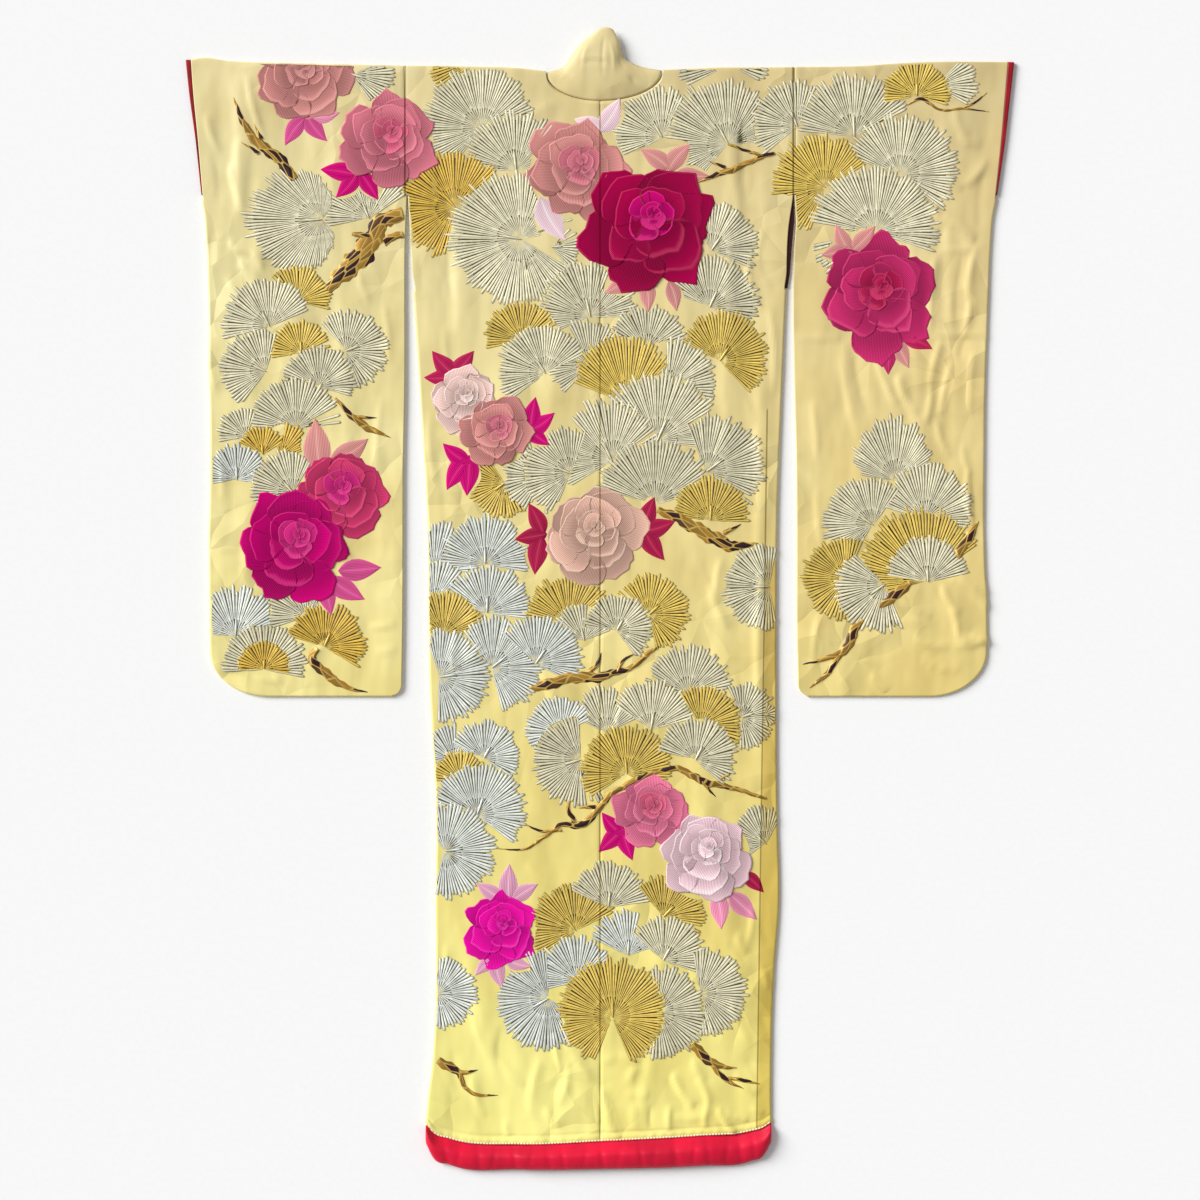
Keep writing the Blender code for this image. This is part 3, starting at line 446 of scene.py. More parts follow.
# Blooms: middle, width, turn in degrees, how pointed the petals are, the silks of
# the outer and inner petals, and how far the whole bloom lies over its neighbour.
BLOOMS = (
    (-483, 846, 172, 10, 0.2, "dusty", "dusty", 0.0),
    (-343, 742, 160, 40, 0.3, "rose", "salmon", 1.1),
    (-36, 692, 172, 75, 0.6, "dusty", "rose", 0.0),
    (78, 601, 214, 20, 0.8, "crimson", "magenta", 1.1),
    (-219, 322, 120, 0, 0.3, "pale", "pale", 0.0),
    (-168, 270, 122, 50, 0.2, "dusty", "rose", 1.1),
    (-13, 102, 176, 30, 0.2, "blush", "blush", 0.0),
    (-420, 170, 150, 15, 0.3, "raspberry", "deep", 0.0),
    (-494, 86, 186, 60, 0.3, "magenta", "deep", 1.0),
    (449, 489, 196, 30, 0.9, "cerise", "rose_red", 0.0),
    (83, -343, 122, 65, 0.3, "coral", "salmon", 0.0),
    (170, -415, 160, 5, 0.2, "orchid", "orchid", 1.1),
    (-160, -533, 124, 25, 0.7, "violet", "violet", 0.0),
)

# Leaves: foot, direction in degrees, length, and silk.
LEAVES = (
    (-486, 770, 227, 42, "pink"), (-470, 776, 300, 44, "pink"), (-455, 781, 5, 34, "candy"),
    (-405, 689, 167, 48, "magenta"), (-399, 682, 238, 42, "magenta"),
    (-382, 682, 305, 42, "magenta"), (5, 766, 50, 52, "orchid"), (-4, 763, 152, 40, "orchid"),
    (-92, 640, 293, 70, "orchid"), (104, 703, 140, 46, "dusty"), (115, 701, 58, 48, "dusty"),
    (127, 681, 7, 50, "dusty"), (50, 512, 190, 46, "dusty"), (76, 505, 275, 40, "dusty"),
    (115, 504, 292, 38, "dusty"), (-237, 366, 143, 50, "rose_red"), (-234, 367, 45, 46, "rose_red"),
    (-243, 362, 195, 42, "rose_red"), (-112, 280, 85, 48, "magenta"),
    (-112, 276, 22, 46, "magenta"), (-112, 272, 320, 38, "magenta"),
    (-219, 226, 155, 44, "magenta"), (-219, 221, 228, 52, "magenta"),
    (-212, 222, 268, 54, "magenta"), (-96, 116, 112, 44, "wine"), (-97, 104, 190, 42, "wine"),
    (-97, 92, 256, 52, "wine"), (74, 122, 80, 46, "wine"), (74, 112, 10, 50, "wine"),
    (76, 105, 295, 50, "wine"), (-455, 219, 96, 74, "dusty"), (-428, 227, 22, 62, "dusty"),
    (-412, 47, 3, 58, "pink"), (-429, 29, 322, 56, "pink"), (-445, 18, 285, 44, "pink"),
    (400, 570, 125, 42, "dusty"), (415, 572, 42, 44, "dusty"), (398, 566, 196, 42, "dusty"),
    (480, 412, 300, 42, "dusty"), (500, 420, 350, 40, "rose_red"), (468, 402, 262, 38, "cerise"),
    (30, -374, 143, 40, "magenta"), (30, -378, 222, 44, "magenta"), (38, -378, 284, 46, "magenta"),
    (190, -485, 283, 48, "candy"), (217, -483, 317, 50, "candy"), (240, -450, 322, 34, "wine"),
    (-149, -476, 88, 48, "mauve"), (-168, -480, 145, 38, "mauve"), (-133, -480, 35, 38, "mauve"),
    (-167, -588, 272, 42, "mauve"), (-178, -586, 212, 32, "mauve"), (-142, -586, 338, 32, "mauve"),
)
SILKS = {
    "pale": "#F7D2C8", "blush": "#E6B8A4", "orchid": "#FAD4DC", "dusty": "#D8908A",
    "rose": "#D87888", "pink": "#DC5290", "rose_red": "#B81E54",
    "magenta": "#CC0072", "deep": "#D42A80", "crimson": "#AC0048", "raspberry": "#D43C6E",
    "coral": "#EA7A9A", "violet": "#EA0CA0", "mauve": "#E8A2BC", "candy": "#F090AE",
    "wine": "#A81846", "cerise": "#C42C68", "salmon": "#DE6482",
}

# Rings of petals from the outside in: where they start and end as shares of half
# the bloom's width, how many there are, half the angle each spans in degrees, how
# high they lie, and how broad the pale turned edge is as a share of the petal.
RINGS = (
    (0.34, 1.10, 6, 39.0, 1.0 * MM, 0.020),
    (0.22, 0.92, 4, 54.0, 1.4 * MM, 0.030),
    (0.14, 0.68, 3, 68.0, 1.8 * MM, 0.045),
    (0.10, 0.45, 3, 70.0, 2.1 * MM, 0.07),
    (0.04, 0.27, 2, 98.0, 2.4 * MM, 0.10),
    (0.00, 0.13, 2, 100.0, 2.7 * MM, 0.14),
)
RING_OFFSET = 0.11

# How petals differ in size, span and tone; the heights in millimetres of the cord along
# a petal's rim, of its tilt and of the fall outside the cord; how much paler its turned
# edge is, and how much darker its very rim, which stands for the dark outline stitch and partly for
# painted shade where the petal falls to the next.
PETAL_SIZES = (0.84, 1.08)
PETAL_SPANS = (0.92, 1.12)
PETAL_TONES = (0.84, 1.24)
PETAL_CORD = 0.45
PETAL_TILT = 0.35
PETAL_FALL = 0.7
EDGE_PALE = 0.36
RIM_SHADE = 0.45
TOP_CLEARANCE = EDGE_INSET + 0.3 * MM

# Shares along and across a petal, and along and across a leaf, where they are drawn.
PETAL_ACROSS = np.sin(np.linspace(-math.pi / 2, math.pi / 2, 17))
PETAL_ALONG = np.array((0.0, 0.2, 0.4, 0.6, 0.76, 0.87, 0.92, 0.95, 0.975, 1.0))
LEAF_ALONG = np.linspace(0.0, 1.0, 13)
LEAF_ACROSS = np.array((-1.0, -0.9, -0.5, -0.12, 0.0, 0.12, 0.5, 0.9, 1.0))

# Pine boughs and their twigs: points along each with its half width there.
BOUGHS = (
    ((-593, 812, 0.8), (-575, 768, 5), (-552, 737, 8), (-525, 718, 9), (-494, 680, 8)),
    ((-580, 739, 0.5), (-566, 731, 2), (-552, 722, 3.5)),
    ((-559, 769, 0.5), (-554, 757, 2), (-548, 745, 3.5)),
    ((-319, 622, 11), (-349, 614, 13), (-369, 583, 17), (-386, 557, 18), (-413, 530, 15),
     (-441, 502, 7)),
    ((-401, 591, 3), (-386, 589, 5), (-369, 588, 6)),
    ((-319, 591, 6), (-332, 587, 6), (-350, 580, 8)),
    ((-428, 326, 2), (-407, 302, 4.5), (-379, 280, 6), (-339, 262, 0.5)),
    ((-394, 296, 3), (-378, 294, 2.4), (-361, 294, 0.5)),
    ((-457, -79, 5), (-467, -94, 7), (-455, -109, 7.5), (-430, -130, 7), (-407, -143, 4),
     (-376, -150, 0.6)),
    ((497, 800, 1), (517, 810, 2.4), (551, 792, 2), (586, 794, 1.8), (629, 789, 0.6)),
    ((586, 794, 1.6), (606, 804, 1.6), (626, 820, 0.6)),
    ((612, 127, 1.0), (598, 102, 8), (586, 82, 9), (577, 68, 6)),
    ((502, 27, 4), (484, 13, 9), (466, -2, 8), (452, -12, 4)),
    ((425, -33, 4), (410, -52, 8), (398, -81, 7), (376, -92, 4.5), (328, -105, 0.6)),
    ((390, -86, 4), (366, -121, 4), (339, -143, 0.8)),
    ((157, 674, 1), (188, 687, 4), (214, 695, 5), (240, 707, 4), (261, 716, 4), (282, 722, 3)),
    ((173, 710, 0.6), (188, 704, 2), (202, 699, 3)),
    ((207, 736, 2), (243, 724, 2.5), (264, 717, 3)),
    ((93, 144, 5), (123, 134, 9), (152, 117, 10), (183, 100, 11), (212, 87, 9), (255, 91, 1.2)),
    ((199, 107, 4), (212, 113, 3), (228, 122, 0.6)),
    ((-116, -143, 1.5), (-97, -141, 8), (-75, -134, 9), (-44, -126, 9), (-6, -126, 8),
     (28, -117, 5), (53, -109, 4), (73, -91, 4), (102, -71, 0.5)),
    ((28, -117, 3), (37, -99, 2.5), (60, -86, 0.6)),
    ((-19, -118, 4), (-5, -105, 3), (2, -86, 0.5)),
    ((-168, -403, 0.6), (-121, -403, 2), (-87, -381, 3), (-58, -363, 4), (-35, -366, 6),
     (-6, -343, 5.5), (13, -319, 5), (42, -300, 4.5), (81, -282, 4), (128, -274, 5),
     (164, -293, 6), (215, -305, 4), (268, -322, 2.4)),
    ((-128, -360, 0.6), (-97, -374, 2.2), (-63, -373, 3)),
    ((-47, -322, 0.6), (-52, -339, 3), (-42, -358, 4)),
    ((-34, -337, 1), (-22, -335, 3), (-8, -337, 4)),
    ((164, -293, 3), (174, -305, 2.5), (187, -319, 0.6)),
    ((194, -290, 3), (203, -286, 2), (213, -280, 0.6)),
    ((149, -719, 7), (168, -739, 8), (190, -753, 5.5), (222, -758, 0.6)),
    ((181, -752, 4), (203, -776, 4), (232, -791, 0.6)),
    ((207, -774, 2.5), (235, -778, 3), (258, -784, 0.8)),
    ((-262, -745, 6), (-243, -757, 8), (-228, -766, 5), (-219, -789, 3.5), (-201, -800, 3),
     (-165, -802, 0.5)),
    ((-228, -765, 4), (-214, -765, 3), (-198, -761, 0.5)),
)

# Dyes of the knots in a bough by lot, widths of the stitched lines, and the piping.
BOUGH_DYES = ((0.0, "#2B0D16"), (0.29, "#3A161A"), (0.33, "#B0842E"), (1.0, "#7C5C24"))
STITCH_ROW = 2.6
LINING_THREAD = 1.5 * MM
PIPING_HALF = 1.5 * MM
PIPING_RISE = 0.9 * MM

# How far a leaf's foot is tucked under its bloom, in millimetres, and half the leaf's
# width and half of what it hides, as shares of its length.
LEAF_TUCK = 12.0
LEAF_HALF = 0.29
LEAF_COVER = 0.31

# Seams seen from the back: place across at the waist, lean, middle and half length,
# the distances between which the shade rises from none to full, and the shade.
# The last line is painted shade on the silk that wraps round to the front beyond the right side
# seam.
SEAMS_AND_WRAP_SHADE = (
    (0.0, 0.0, -0.1100, 0.9100, 1.7 * MM, 0.5 * MM, "#B4AB84"),
    (-0.3155, 0.0, 0.815, 0.160, 2.0 * MM, 0.5 * MM, "#8C8360"),
    (0.3125, 0.0, 0.815, 0.160, 2.0 * MM, 0.5 * MM, "#8C8360"),
    (0.2660, 0.0145, -0.2950, 0.6000, 1.9 * MM, 0.5 * MM, "#B0A77E"),
    (0.2830, 0.0145, -0.4000, 0.4600, 17.0 * MM, 14.0 * MM, "#E9DEBC"),
)
SEAM_FADE = 0.006

# Colour of the silk from the hem up, on the wearer's left and right: yellower and lighter towards
# the hem, and lighter on the left than the right, partly the silk's own colour and partly painted
# light on the left and painted shade on the right.
SILK_TONE_LEVELS = (0.02, 0.25, 0.50, 0.78, 0.96)
SILK_LIT_LEFT = ("#FFFFA2", "#F5EC96", "#F2E69E", "#EADFA4", "#EADCA6")
SILK_SHADED_RIGHT = ("#F2E180", "#E6D078", "#E6D18A", "#E7D398", "#D4C18C")

# Boughs: the step along them, the places across, their rise and their knotty outline.
BOUGH_STEP = 3.0 * MM
BOUGH_ACROSS = np.linspace(-1.0, 1.0, 9)
BOUGH_RISE = 2.4 * MM
BOUGH_KNOTS = ((0.16, 6.0 * MM), (0.10, 2.7 * MM))
SEED = 4012

# Floor, window and camera.
FLOOR_REACH = 60.0
FLOOR_LEVEL = -0.2 * MM
WINDOW_TURN = (math.radians(-24.0), math.radians(-56.0), 0.0)
CAMERA_PLACE = (0.0, -0.8 * MM)
CAMERA_END = 200.0

# Settings that several nodes share; a wave texture's scale is WAVE over its pitch.
WHITE = (1.0, 1.0, 1.0)
WAVE = math.pi / 10.0
MULTIPLY = {"data_type": "RGBA", "blend_type": "MULTIPLY"}
EDGES = {"feature": "DISTANCE_TO_EDGE", "voronoi_dimensions": "2D"}


def linear(code):
    """Linear colour of an sRGB hex value such as "#F7F7F7"."""
    value = np.array([int(code[i:i + 2], 16) for i in (1, 3, 5)]) / 255.0
    return tuple(np.where(value <= 0.04045, value / 12.92, ((value + 0.055) / 1.055) ** 2.4))


def smooth(share):
    """Smooth step of a share between 0 and 1: 3 s squared less 2 s cubed."""
    share = np.clip(share, 0.0, 1.0)
    return share * share * (3.0 - 2.0 * share)


def between(x, low, high, blend):
    """One between two places, falling smoothly to none over a blend inside each."""
    return smooth((x - low) / blend) * smooth((high - x) / blend)


def curve(knots, values, at):
    """Cubic curve through the knots, with slopes from their neighbours."""
    slopes = np.gradient(values, knots)
    index = np.clip(np.searchsorted(knots, at) - 1, 0, len(knots) - 2)
    width = knots[index + 1] - knots[index]
    share = np.clip((at - knots[index]) / width, 0.0, 1.0)
    rest = 1.0 - share
    start = values[index] * (1.0 + 2.0 * share) * rest * rest
    end = values[index + 1] * share * share * (3.0 - 2.0 * share)
    bend = share * rest * width * (slopes[index] * rest - slopes[index + 1] * share)
    return start + end + bend


def follow(columns, name, at):
    """Cubic curve through one column of a table, read against the table's first."""
    return curve(next(iter(columns.values())), columns[name], at)


def spaced(start, end, cell):
    """Even places from start to end, no further apart than the cell."""
    return np.linspace(start, end, int(math.ceil(abs(end - start) / cell)) + 1)


def edged(width, cell):
    """Shares across a width: close together at both edges, even between them."""
    inner = spaced(EDGE_STEPS[-1], width - EDGE_STEPS[-1], cell)
    return np.concatenate((EDGE_STEPS[:-1], inner, width - EDGE_STEPS[-2::-1])) / width


# ---- Outline


def shoulder_y(x):
    """Level of the shoulder fold at x."""
    return follow(SHOULDER_FOLD, "level", x)


def neck_y(x):
    """Level of the neckline: the lower half of an ellipse on each side."""
    level = np.empty_like(x)
    for side, (end_x, end_y) in NECK_ENDS.items():
        here = x * SIGN[side] >= 0.0
        across = np.clip(x[here] / end_x, 0.0, 1.0)
        level[here] = end_y - (end_y - NECK_FOOT) * np.sqrt(1.0 - across ** 2)
    return level


def hem_y(x, name):
    """Level of the hem seam, or of the padding's lower end, at x."""
    return follow(HEM, name, x)


def body_edge_x(side, levels):
    """Outer edge of one body panel."""
    return follow(BODY_EDGES, side, levels)


def collar_seam_x(side, levels):
    """Straight seam of collar and front, from the neck down to the collar's foot."""
    neck_x, neck_level = NECK_ENDS[side]
    foot_x = FRONT_EDGE[side] + SIGN[side] * COLLAR_FOOT_WIDTH
    share = (neck_level - levels) / (neck_level - COLLAR_FOOT_LEVEL)
    return neck_x + (foot_x - neck_x) * share


def edge_beside(x, y):
    """Outer edge of the body panel on whose side x lies."""
    return np.where(x < 0.0, body_edge_x("left", y), body_edge_x("right", y))


def sleeve_edges_x(side, levels):
    """Inner and outer edge of one sleeve, with its two lower corners rounded."""
    sign = SIGN[side]
    inner = follow(SLEEVE_EDGES, f"{side}_inner", levels)
    armhole = levels >= ARMHOLE_LEVEL + MM
    inner = np.where(armhole, body_edge_x(side, levels) + sign * SEAM_GAP, inner)
    outer = follow(SLEEVE_EDGES, f"{side}_outer", levels)
    outer = outer - sign * EDGE_INSET * smooth((ARMHOLE_LEVEL - levels) / FOLD_BLEND)
    rounded = []
    for (reach, rise), edge, towards in ((INNER_CORNER, inner, sign), (OUTER_CORNER, outer, -sign)):
        into = np.clip((SLEEVE_END_LEVEL + rise - levels) / rise, 0.0, 1.0)
        rounded.append(edge + towards * reach * (1.0 - np.sqrt(1.0 - into ** 2)))
    return rounded


# ---- Heights


def creases(lines, x, y):
    """Sum of ridges and troughs: a bell or an edge across each bowed line, steeper on one side."""
    total = np.zeros_like(x)
    for x0, y0, x1, y1, bow, half_width, rise in np.array(lines) * MM:
        along_x, along_y = x1 - x0, y1 - y0
        length = math.hypot(along_x, along_y)
        share = ((x - x0) * along_x + (y - y0) * along_y) / length ** 2
        fade = np.sin(np.pi * np.clip(share, 0.0, 1.0))
        across = ((x - x0) * along_y - (y - y0) * along_x) / length - bow * fade
        width = np.where(across > 0.0, 0.55, 1.10) * half_width
        power = 1.35 if half_width < CRISP else 2.0
        total += rise * np.exp(-np.abs(across / width) ** power) * np.sqrt(fade)
    return total


def gentle(height):
    """Height kept within the crease limits by bending it over softly."""
    limit = np.where(height > 0.0, CREASE_LIMIT, TROUGH_LIMIT)
    return limit * np.tanh(height / limit)


def groove(distance):
    """Pressed seam: a bell-shaped dip across the line."""
    return -SEAM_DEPTH * np.exp(-(distance / SEAM_HALF) ** 2)


def armhole_seam(x, y):
    """Groove along the armhole, on the body and on the sleeve alike."""
    return np.where(y > ARMHOLE_LEVEL, groove(x - edge_beside(x, y)), 0.0)


def back_relief(x, y):
    """Height of the back over its lowest layer: its lift over both fronts, and creases."""
    return CENTRE_LIFT * between(x, *BACK_LIFT) + gentle(creases(BODY_CREASES, x, y))


def body_z(x, y):
    """Mid-wall height of the back: its lift over both fronts, creases, seams and hem welt."""
    from_hem = y - hem_y(x, "seam")
    turns = 2.0 * np.pi * x / STITCH_PITCH + 2.0 * np.sin(x / WELT_WANDER)
    puckered = 1.0 + WELT_PUCKER * np.sin(turns)
    welt = WELT_HEIGHT * puckered * np.exp(-((from_hem - WELT_PLACE) / WELT_HALF) ** 2)
    line = WELT_LINE * np.exp(-((from_hem - 2.4 * WELT_PLACE) / (0.7 * WELT_HALF)) ** 2)
    return UPPER_LAYER + back_relief(x, y) + groove(x) + welt + line + armhole_seam(x, y)


def sleeve_z(x, y):
    """Mid-wall height of a sleeve's upper layer: creases and the seam at the armhole."""
    return UPPER_LAYER + gentle(creases(SLEEVE_CREASES, x, y)) + armhole_seam(x, y)


def under_z(x, y):
    """Mid-wall height of the layer on the floor, with its own low creases."""
    return FLOOR_LAYER + creases(UNDER_CREASES, x, y)


# ---- Meshes


def quads_of(index):
    """Quads of grids of point numbers: neighbours in a row with those of the next row."""
    corners = (
        index[..., :-1, :-1], index[..., :-1, 1:], index[..., 1:, 1:], index[..., 1:, :-1],
    )
    return np.stack(corners, axis=-1).reshape(-1, 4)


def facing_up(points, quads):
    """The same quads, each turned so that its normal points upwards."""
    first = points[quads[:, 2]] - points[quads[:, 0]]
    second = points[quads[:, 3]] - points[quads[:, 1]]
    down = first[:, 0] * second[:, 1] - first[:, 1] * second[:, 0] < 0.0
    quads[down] = quads[down, ::-1]
    return quads


def joined(grids):
    """Points, quads and one value row per point of several grids, numbered in one run."""
    points, quads, values, start = [], [], [], 0
    for grid in grids:
        count = grid[0].size // 3
        quads.append(quads_of(start + np.arange(count).reshape(grid[0].shape[:-1])))
        points.append(grid[0].reshape(-1, 3))
        values.append([part.reshape(count, -1) for part in grid[1:]])
        start += count
    return np.concatenate(points), np.concatenate(quads), [np.concatenate(v) for v in zip(*values)]


def add_piece(name, mesh, material, *replaced):
    """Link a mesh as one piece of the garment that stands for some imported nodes."""
    piece = bpy.data.objects.new(name, mesh)
    mesh.materials.append(material)
    bpy.context.scene.collection.objects.link(piece)
    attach(piece, "root")
    if replaced:
        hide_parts(*replaced)
    return piece


def sewn_mesh(name, points, quads, reach, cap_sides=0):
    """Smooth mesh whose points within reach of each other are one, with round ends closed."""
    mesh = bpy.data.meshes.new(name)
    mesh.from_pydata(points, [], quads.tolist())
    edit = bmesh.new()
    edit.from_mesh(mesh)
    bmesh.ops.remove_doubles(edit, verts=edit.verts, dist=reach)
    if cap_sides:
        rims = [edge for edge in edit.edges if edge.is_boundary]
        bmesh.ops.holes_fill(edit, edges=rims, sides=cap_sides)
    bmesh.ops.recalc_face_normals(edit, faces=edit.faces)
    edit.to_mesh(mesh)
    edit.free()
    mesh.shade_smooth()
    return mesh


def shell(name, grids, material, replaced, even=True):
    """Open sheet over grids of points, sewn at shared edges, with half a wall to each side."""
    points, quads, _ = joined(grids)
    mesh = sewn_mesh(name, points, quads, 0.02 * MM)
    piece = add_piece(name, mesh, material, replaced)
    thickness = piece.modifiers.new("wall", "SOLIDIFY")
    thickness.thickness = WALL
    thickness.offset = 0.0
    thickness.use_even_offset = even
    return piece


def relief(name, grids, material):
    """Raised work on the silk: grids that face up, with a UV map and a shade per point."""
    points, quads, values = joined(grids)
    quads = facing_up(points, quads)
    mesh = bpy.data.meshes.new(name)
    mesh.from_pydata(points, [], quads.tolist())
    uv = mesh.uv_layers.new(name="UVMap")
    uv.data.foreach_set("uv", values[0][quads.ravel()].astype(np.float32).ravel())
    if len(values) > 1:
        colour = mesh.attributes.new("thread", "FLOAT_COLOR", "POINT")
        rows = np.concatenate((values[1], np.ones((len(points), 1))), axis=1)
        colour.data.foreach_set("color", rows.astype(np.float32).ravel())
    mesh.shade_smooth()
    return add_piece(name, mesh, material)


def hem_piping(material):
    """Rolled edge of the silk above the padding: a half-round ridge along the hem seam."""
    along = spaced(body_edge_x("left", HEM_LEVEL) + 2.0 * MM,
                   body_edge_x("right", HEM_LEVEL) - 2.0 * MM, 3.0 * MM)[:, None]
    across = np.linspace(-1.0, 1.0, 7)[None, :]
    level = hem_y(along, "seam") + 1.2 * MM
    x, y = along + 0.0 * across, level + PIPING_HALF * across
    rolled = 1.0 + 0.2 * np.sin(along / (4.0 * MM))
    rise = PIPING_RISE * np.sqrt(1.0 - 0.96 * across ** 2) * rolled
    z = body_z(x, level + 0.0 * across) + WALL / 2 + rise - 0.4 * MM * np.abs(across)
    uv = np.stack((y - level, x), axis=-1) / MM
    return relief("silk_hem_piping", [(np.stack((x, y, z), axis=-1), uv)], material)


def outward_of(points, flip):
    """Unit directions in the plane, square to a run of points."""
    steps = np.gradient(points[:, :2], axis=0)
    outward = np.stack((steps[:, 1], -steps[:, 0]), axis=1) * flip
    return outward / np.linalg.norm(outward, axis=1, keepdims=True)


def fold_strip(upper, lower, outward):
    """Half-round strip that joins an upper and a lower run of points."""
    radius = (upper[:, 2] - lower[:, 2]) / 2
    middle = (upper + lower) / 2
    rows = np.repeat(middle[None], len(FOLD_ANGLES), axis=0)
    rows[:, :, :2] += outward * radius[:, None] * np.cos(FOLD_ANGLES)[:, None, None]
    rows[:, :, 2] += radius * np.sin(FOLD_ANGLES)[:, None]
    rows[0], rows[-1] = upper, lower
    return rows


# ---- Materials


def add_node(tree, kind, sockets=None, out=None, stops=None, **settings):
    """Add one node: settings, each socket's value or link, and a ramp's stops.

    Gives back the output of the name asked for, or else the first one in use.
    """
    made = tree.nodes.new("ShaderNode" + kind)
    for name, value in settings.items():
        setattr(made, name, value)
    for socket, value in (sockets or {}).items():
        if isinstance(value, bpy.types.NodeSocket):
            tree.links.new(value, made.inputs[socket])
        else:
            made.inputs[socket].default_value = value
    if stops:
        while len(made.color_ramp.elements) < len(stops):
            made.color_ramp.elements.new(1.0)
        for element, (place, colour) in zip(made.color_ramp.elements, stops):
            element.position = place
            element.color = (*colour, 1.0)
    return made.outputs[out] if out else next(end for end in made.outputs if end.enabled)


def new_finish(name, **values):
    """Empty principled material with uniform values set on the shader's own sockets."""
    material = bpy.data.materials.new(name)
    material.use_nodes = True
    shader = material.node_tree.nodes["Principled BSDF"]
    for socket, value in values.items():
        shader.inputs[socket.replace("_", " ")].default_value = value
    return material, material.node_tree


def finished(material, colour, normal=None):
    """The material with its colour, and its bump where it has one, linked to the shader."""
    tree = material.node_tree
    shader = tree.nodes["Principled BSDF"]
    tree.links.new(colour, shader.inputs["Base Color"])
    if normal is not None:
        tree.links.new(normal, shader.inputs["Normal"])
    return material


def silk_satin(tint, name="silk satin, woven, with painted side shade"):
    """Cream silk satin, yellower towards the hem, with painted light on the wearer's left and
    painted shade on the right.

    The satin weave gives the eye a soft sheen along each crease, and a fine
    lengthways thread, drawn at 2 mm because the real 0.1 mm would not show.
    """
    material, tree = new_finish(
        name, Roughness=0.44, Sheen_Weight=0.06, Sheen_Roughness=0.3, IOR=1.5,
        Specular_IOR_Level=0.32,
    )
    place = add_node(tree, "TexCoord", out="Object")
    sideways, level = (
        add_node(tree, "MapRange", {
            "Value": add_node(tree, "SeparateXYZ", {0: place}, axis),
            "From Min": CAD_BOX[0][number], "From Max": CAD_BOX[1][number],
        })
        for number, axis in enumerate("XY")
    )
    left, right = (
        add_node(tree, "ValToRGB", {"Fac": level}, stops=[
            (stop, linear(code)) for stop, code in zip(SILK_TONE_LEVELS, codes)
        ])
        for codes in (SILK_LIT_LEFT, SILK_SHADED_RIGHT)
    )
    # Mixing the two ramps across paints light on the wearer's left and shade on the right.
    ground = add_node(tree, "Mix", {"Factor": sideways, "A": left, "B": right}, data_type="RGBA")
    cloudy = add_node(
        tree, "TexNoise", {"Vector": place, "Scale": 7.0, "Detail": 3.0, "Roughness": 0.55}, "Fac",
    )
    cloud_tint = add_node(
        tree, "ValToRGB", {"Fac": cloudy}, stops=((0.30, linear("#F2ECDF")), (0.70, WHITE)),
    )
    colour = ground
    for layer in (cloud_tint, (*tint, 1.0)):
        colour = add_node(tree, "Mix", {"Factor": 1.0, "A": colour, "B": layer}, **MULTIPLY)

    # Folds pressed in when it was put away: a broad rumple, and patches of sharp creases.
    stretched = add_node(tree, "Mapping", {
        "Vector": place, "Scale": (1.0, 0.45, 1.0), "Rotation": (0.0, 0.0, 0.12),
    })
    threads = add_node(tree, "Mapping", {"Vector": place, "Scale": (1.0, 0.06, 1.0)})
    rumple, wander, crumpled, weave = (
        add_node(tree, "TexNoise", {"Vector": at, "Scale": 1.0 / size, **detail}, out)
        for at, size, out, detail in (
            (stretched, 70.0 * MM, "Fac", {"Detail": 2.0, "Roughness": 0.4}),
            (place, 60.0 * MM, "Color", {"Detail": 1.0}),
            (place, 260.0 * MM, "Fac", {"Detail": 1.0}),
            (threads, 2.0 * MM, "Fac", {"Detail": 2.0}),
        )
    )
    wandered = add_node(
        tree, "VectorMath", {0: wander, 1: (24.0 * MM,) * 3, 2: place}, operation="MULTIPLY_ADD",
    )
    crease = add_node(
        tree, "TexVoronoi", {"Vector": wandered, "Scale": 1.0 / (75.0 * MM)}, "Distance", **EDGES,
    )
    patches = add_node(tree, "MapRange", {"Value": crumpled, "From Min": 0.46, "From Max": 0.62})
    folded = add_node(tree, "Math", {0: crease, 1: patches}, operation="MULTIPLY")
    bump = add_node(tree, "Bump", {"Height": rumple, "Strength": 0.8, "Distance": 12.0 * MM})
    for height, strength, depth in ((folded, 1.0, 9.0 * MM), (weave, 0.12, 0.3 * MM)):
        bump = add_node(tree, "Bump", {
            "Height": height, "Strength": strength, "Distance": depth, "Normal": bump,
        })
    return finished(material, seams_and_wrap_shade(tree, colour), bump)


def lining_silk(name, dark, light):
    """Plain-woven silk lining, piece dyed: a deep even colour with a faint cross thread."""
    material, tree = new_finish(
        name, Roughness=0.50, Sheen_Weight=0.03, Sheen_Roughness=0.4, IOR=1.5,
        Specular_IOR_Level=0.30,
    )
    place = add_node(tree, "TexCoord", out="Object")
    patchy, weave = (
        add_node(tree, "TexNoise", {"Vector": place, "Scale": 1.0 / size, "Detail": detail}, "Fac")
        for size, detail in ((45.0 * MM, 3.0), (LINING_THREAD, 2.0))
    )
    colour = add_node(tree, "ValToRGB", {"Fac": patchy}, stops=((0.30, dark), (0.70, light)))
    bump = add_node(tree, "Bump", {"Height": weave, "Strength": 0.2, "Distance": 0.4 * MM})
    return finished(material, colour, bump)


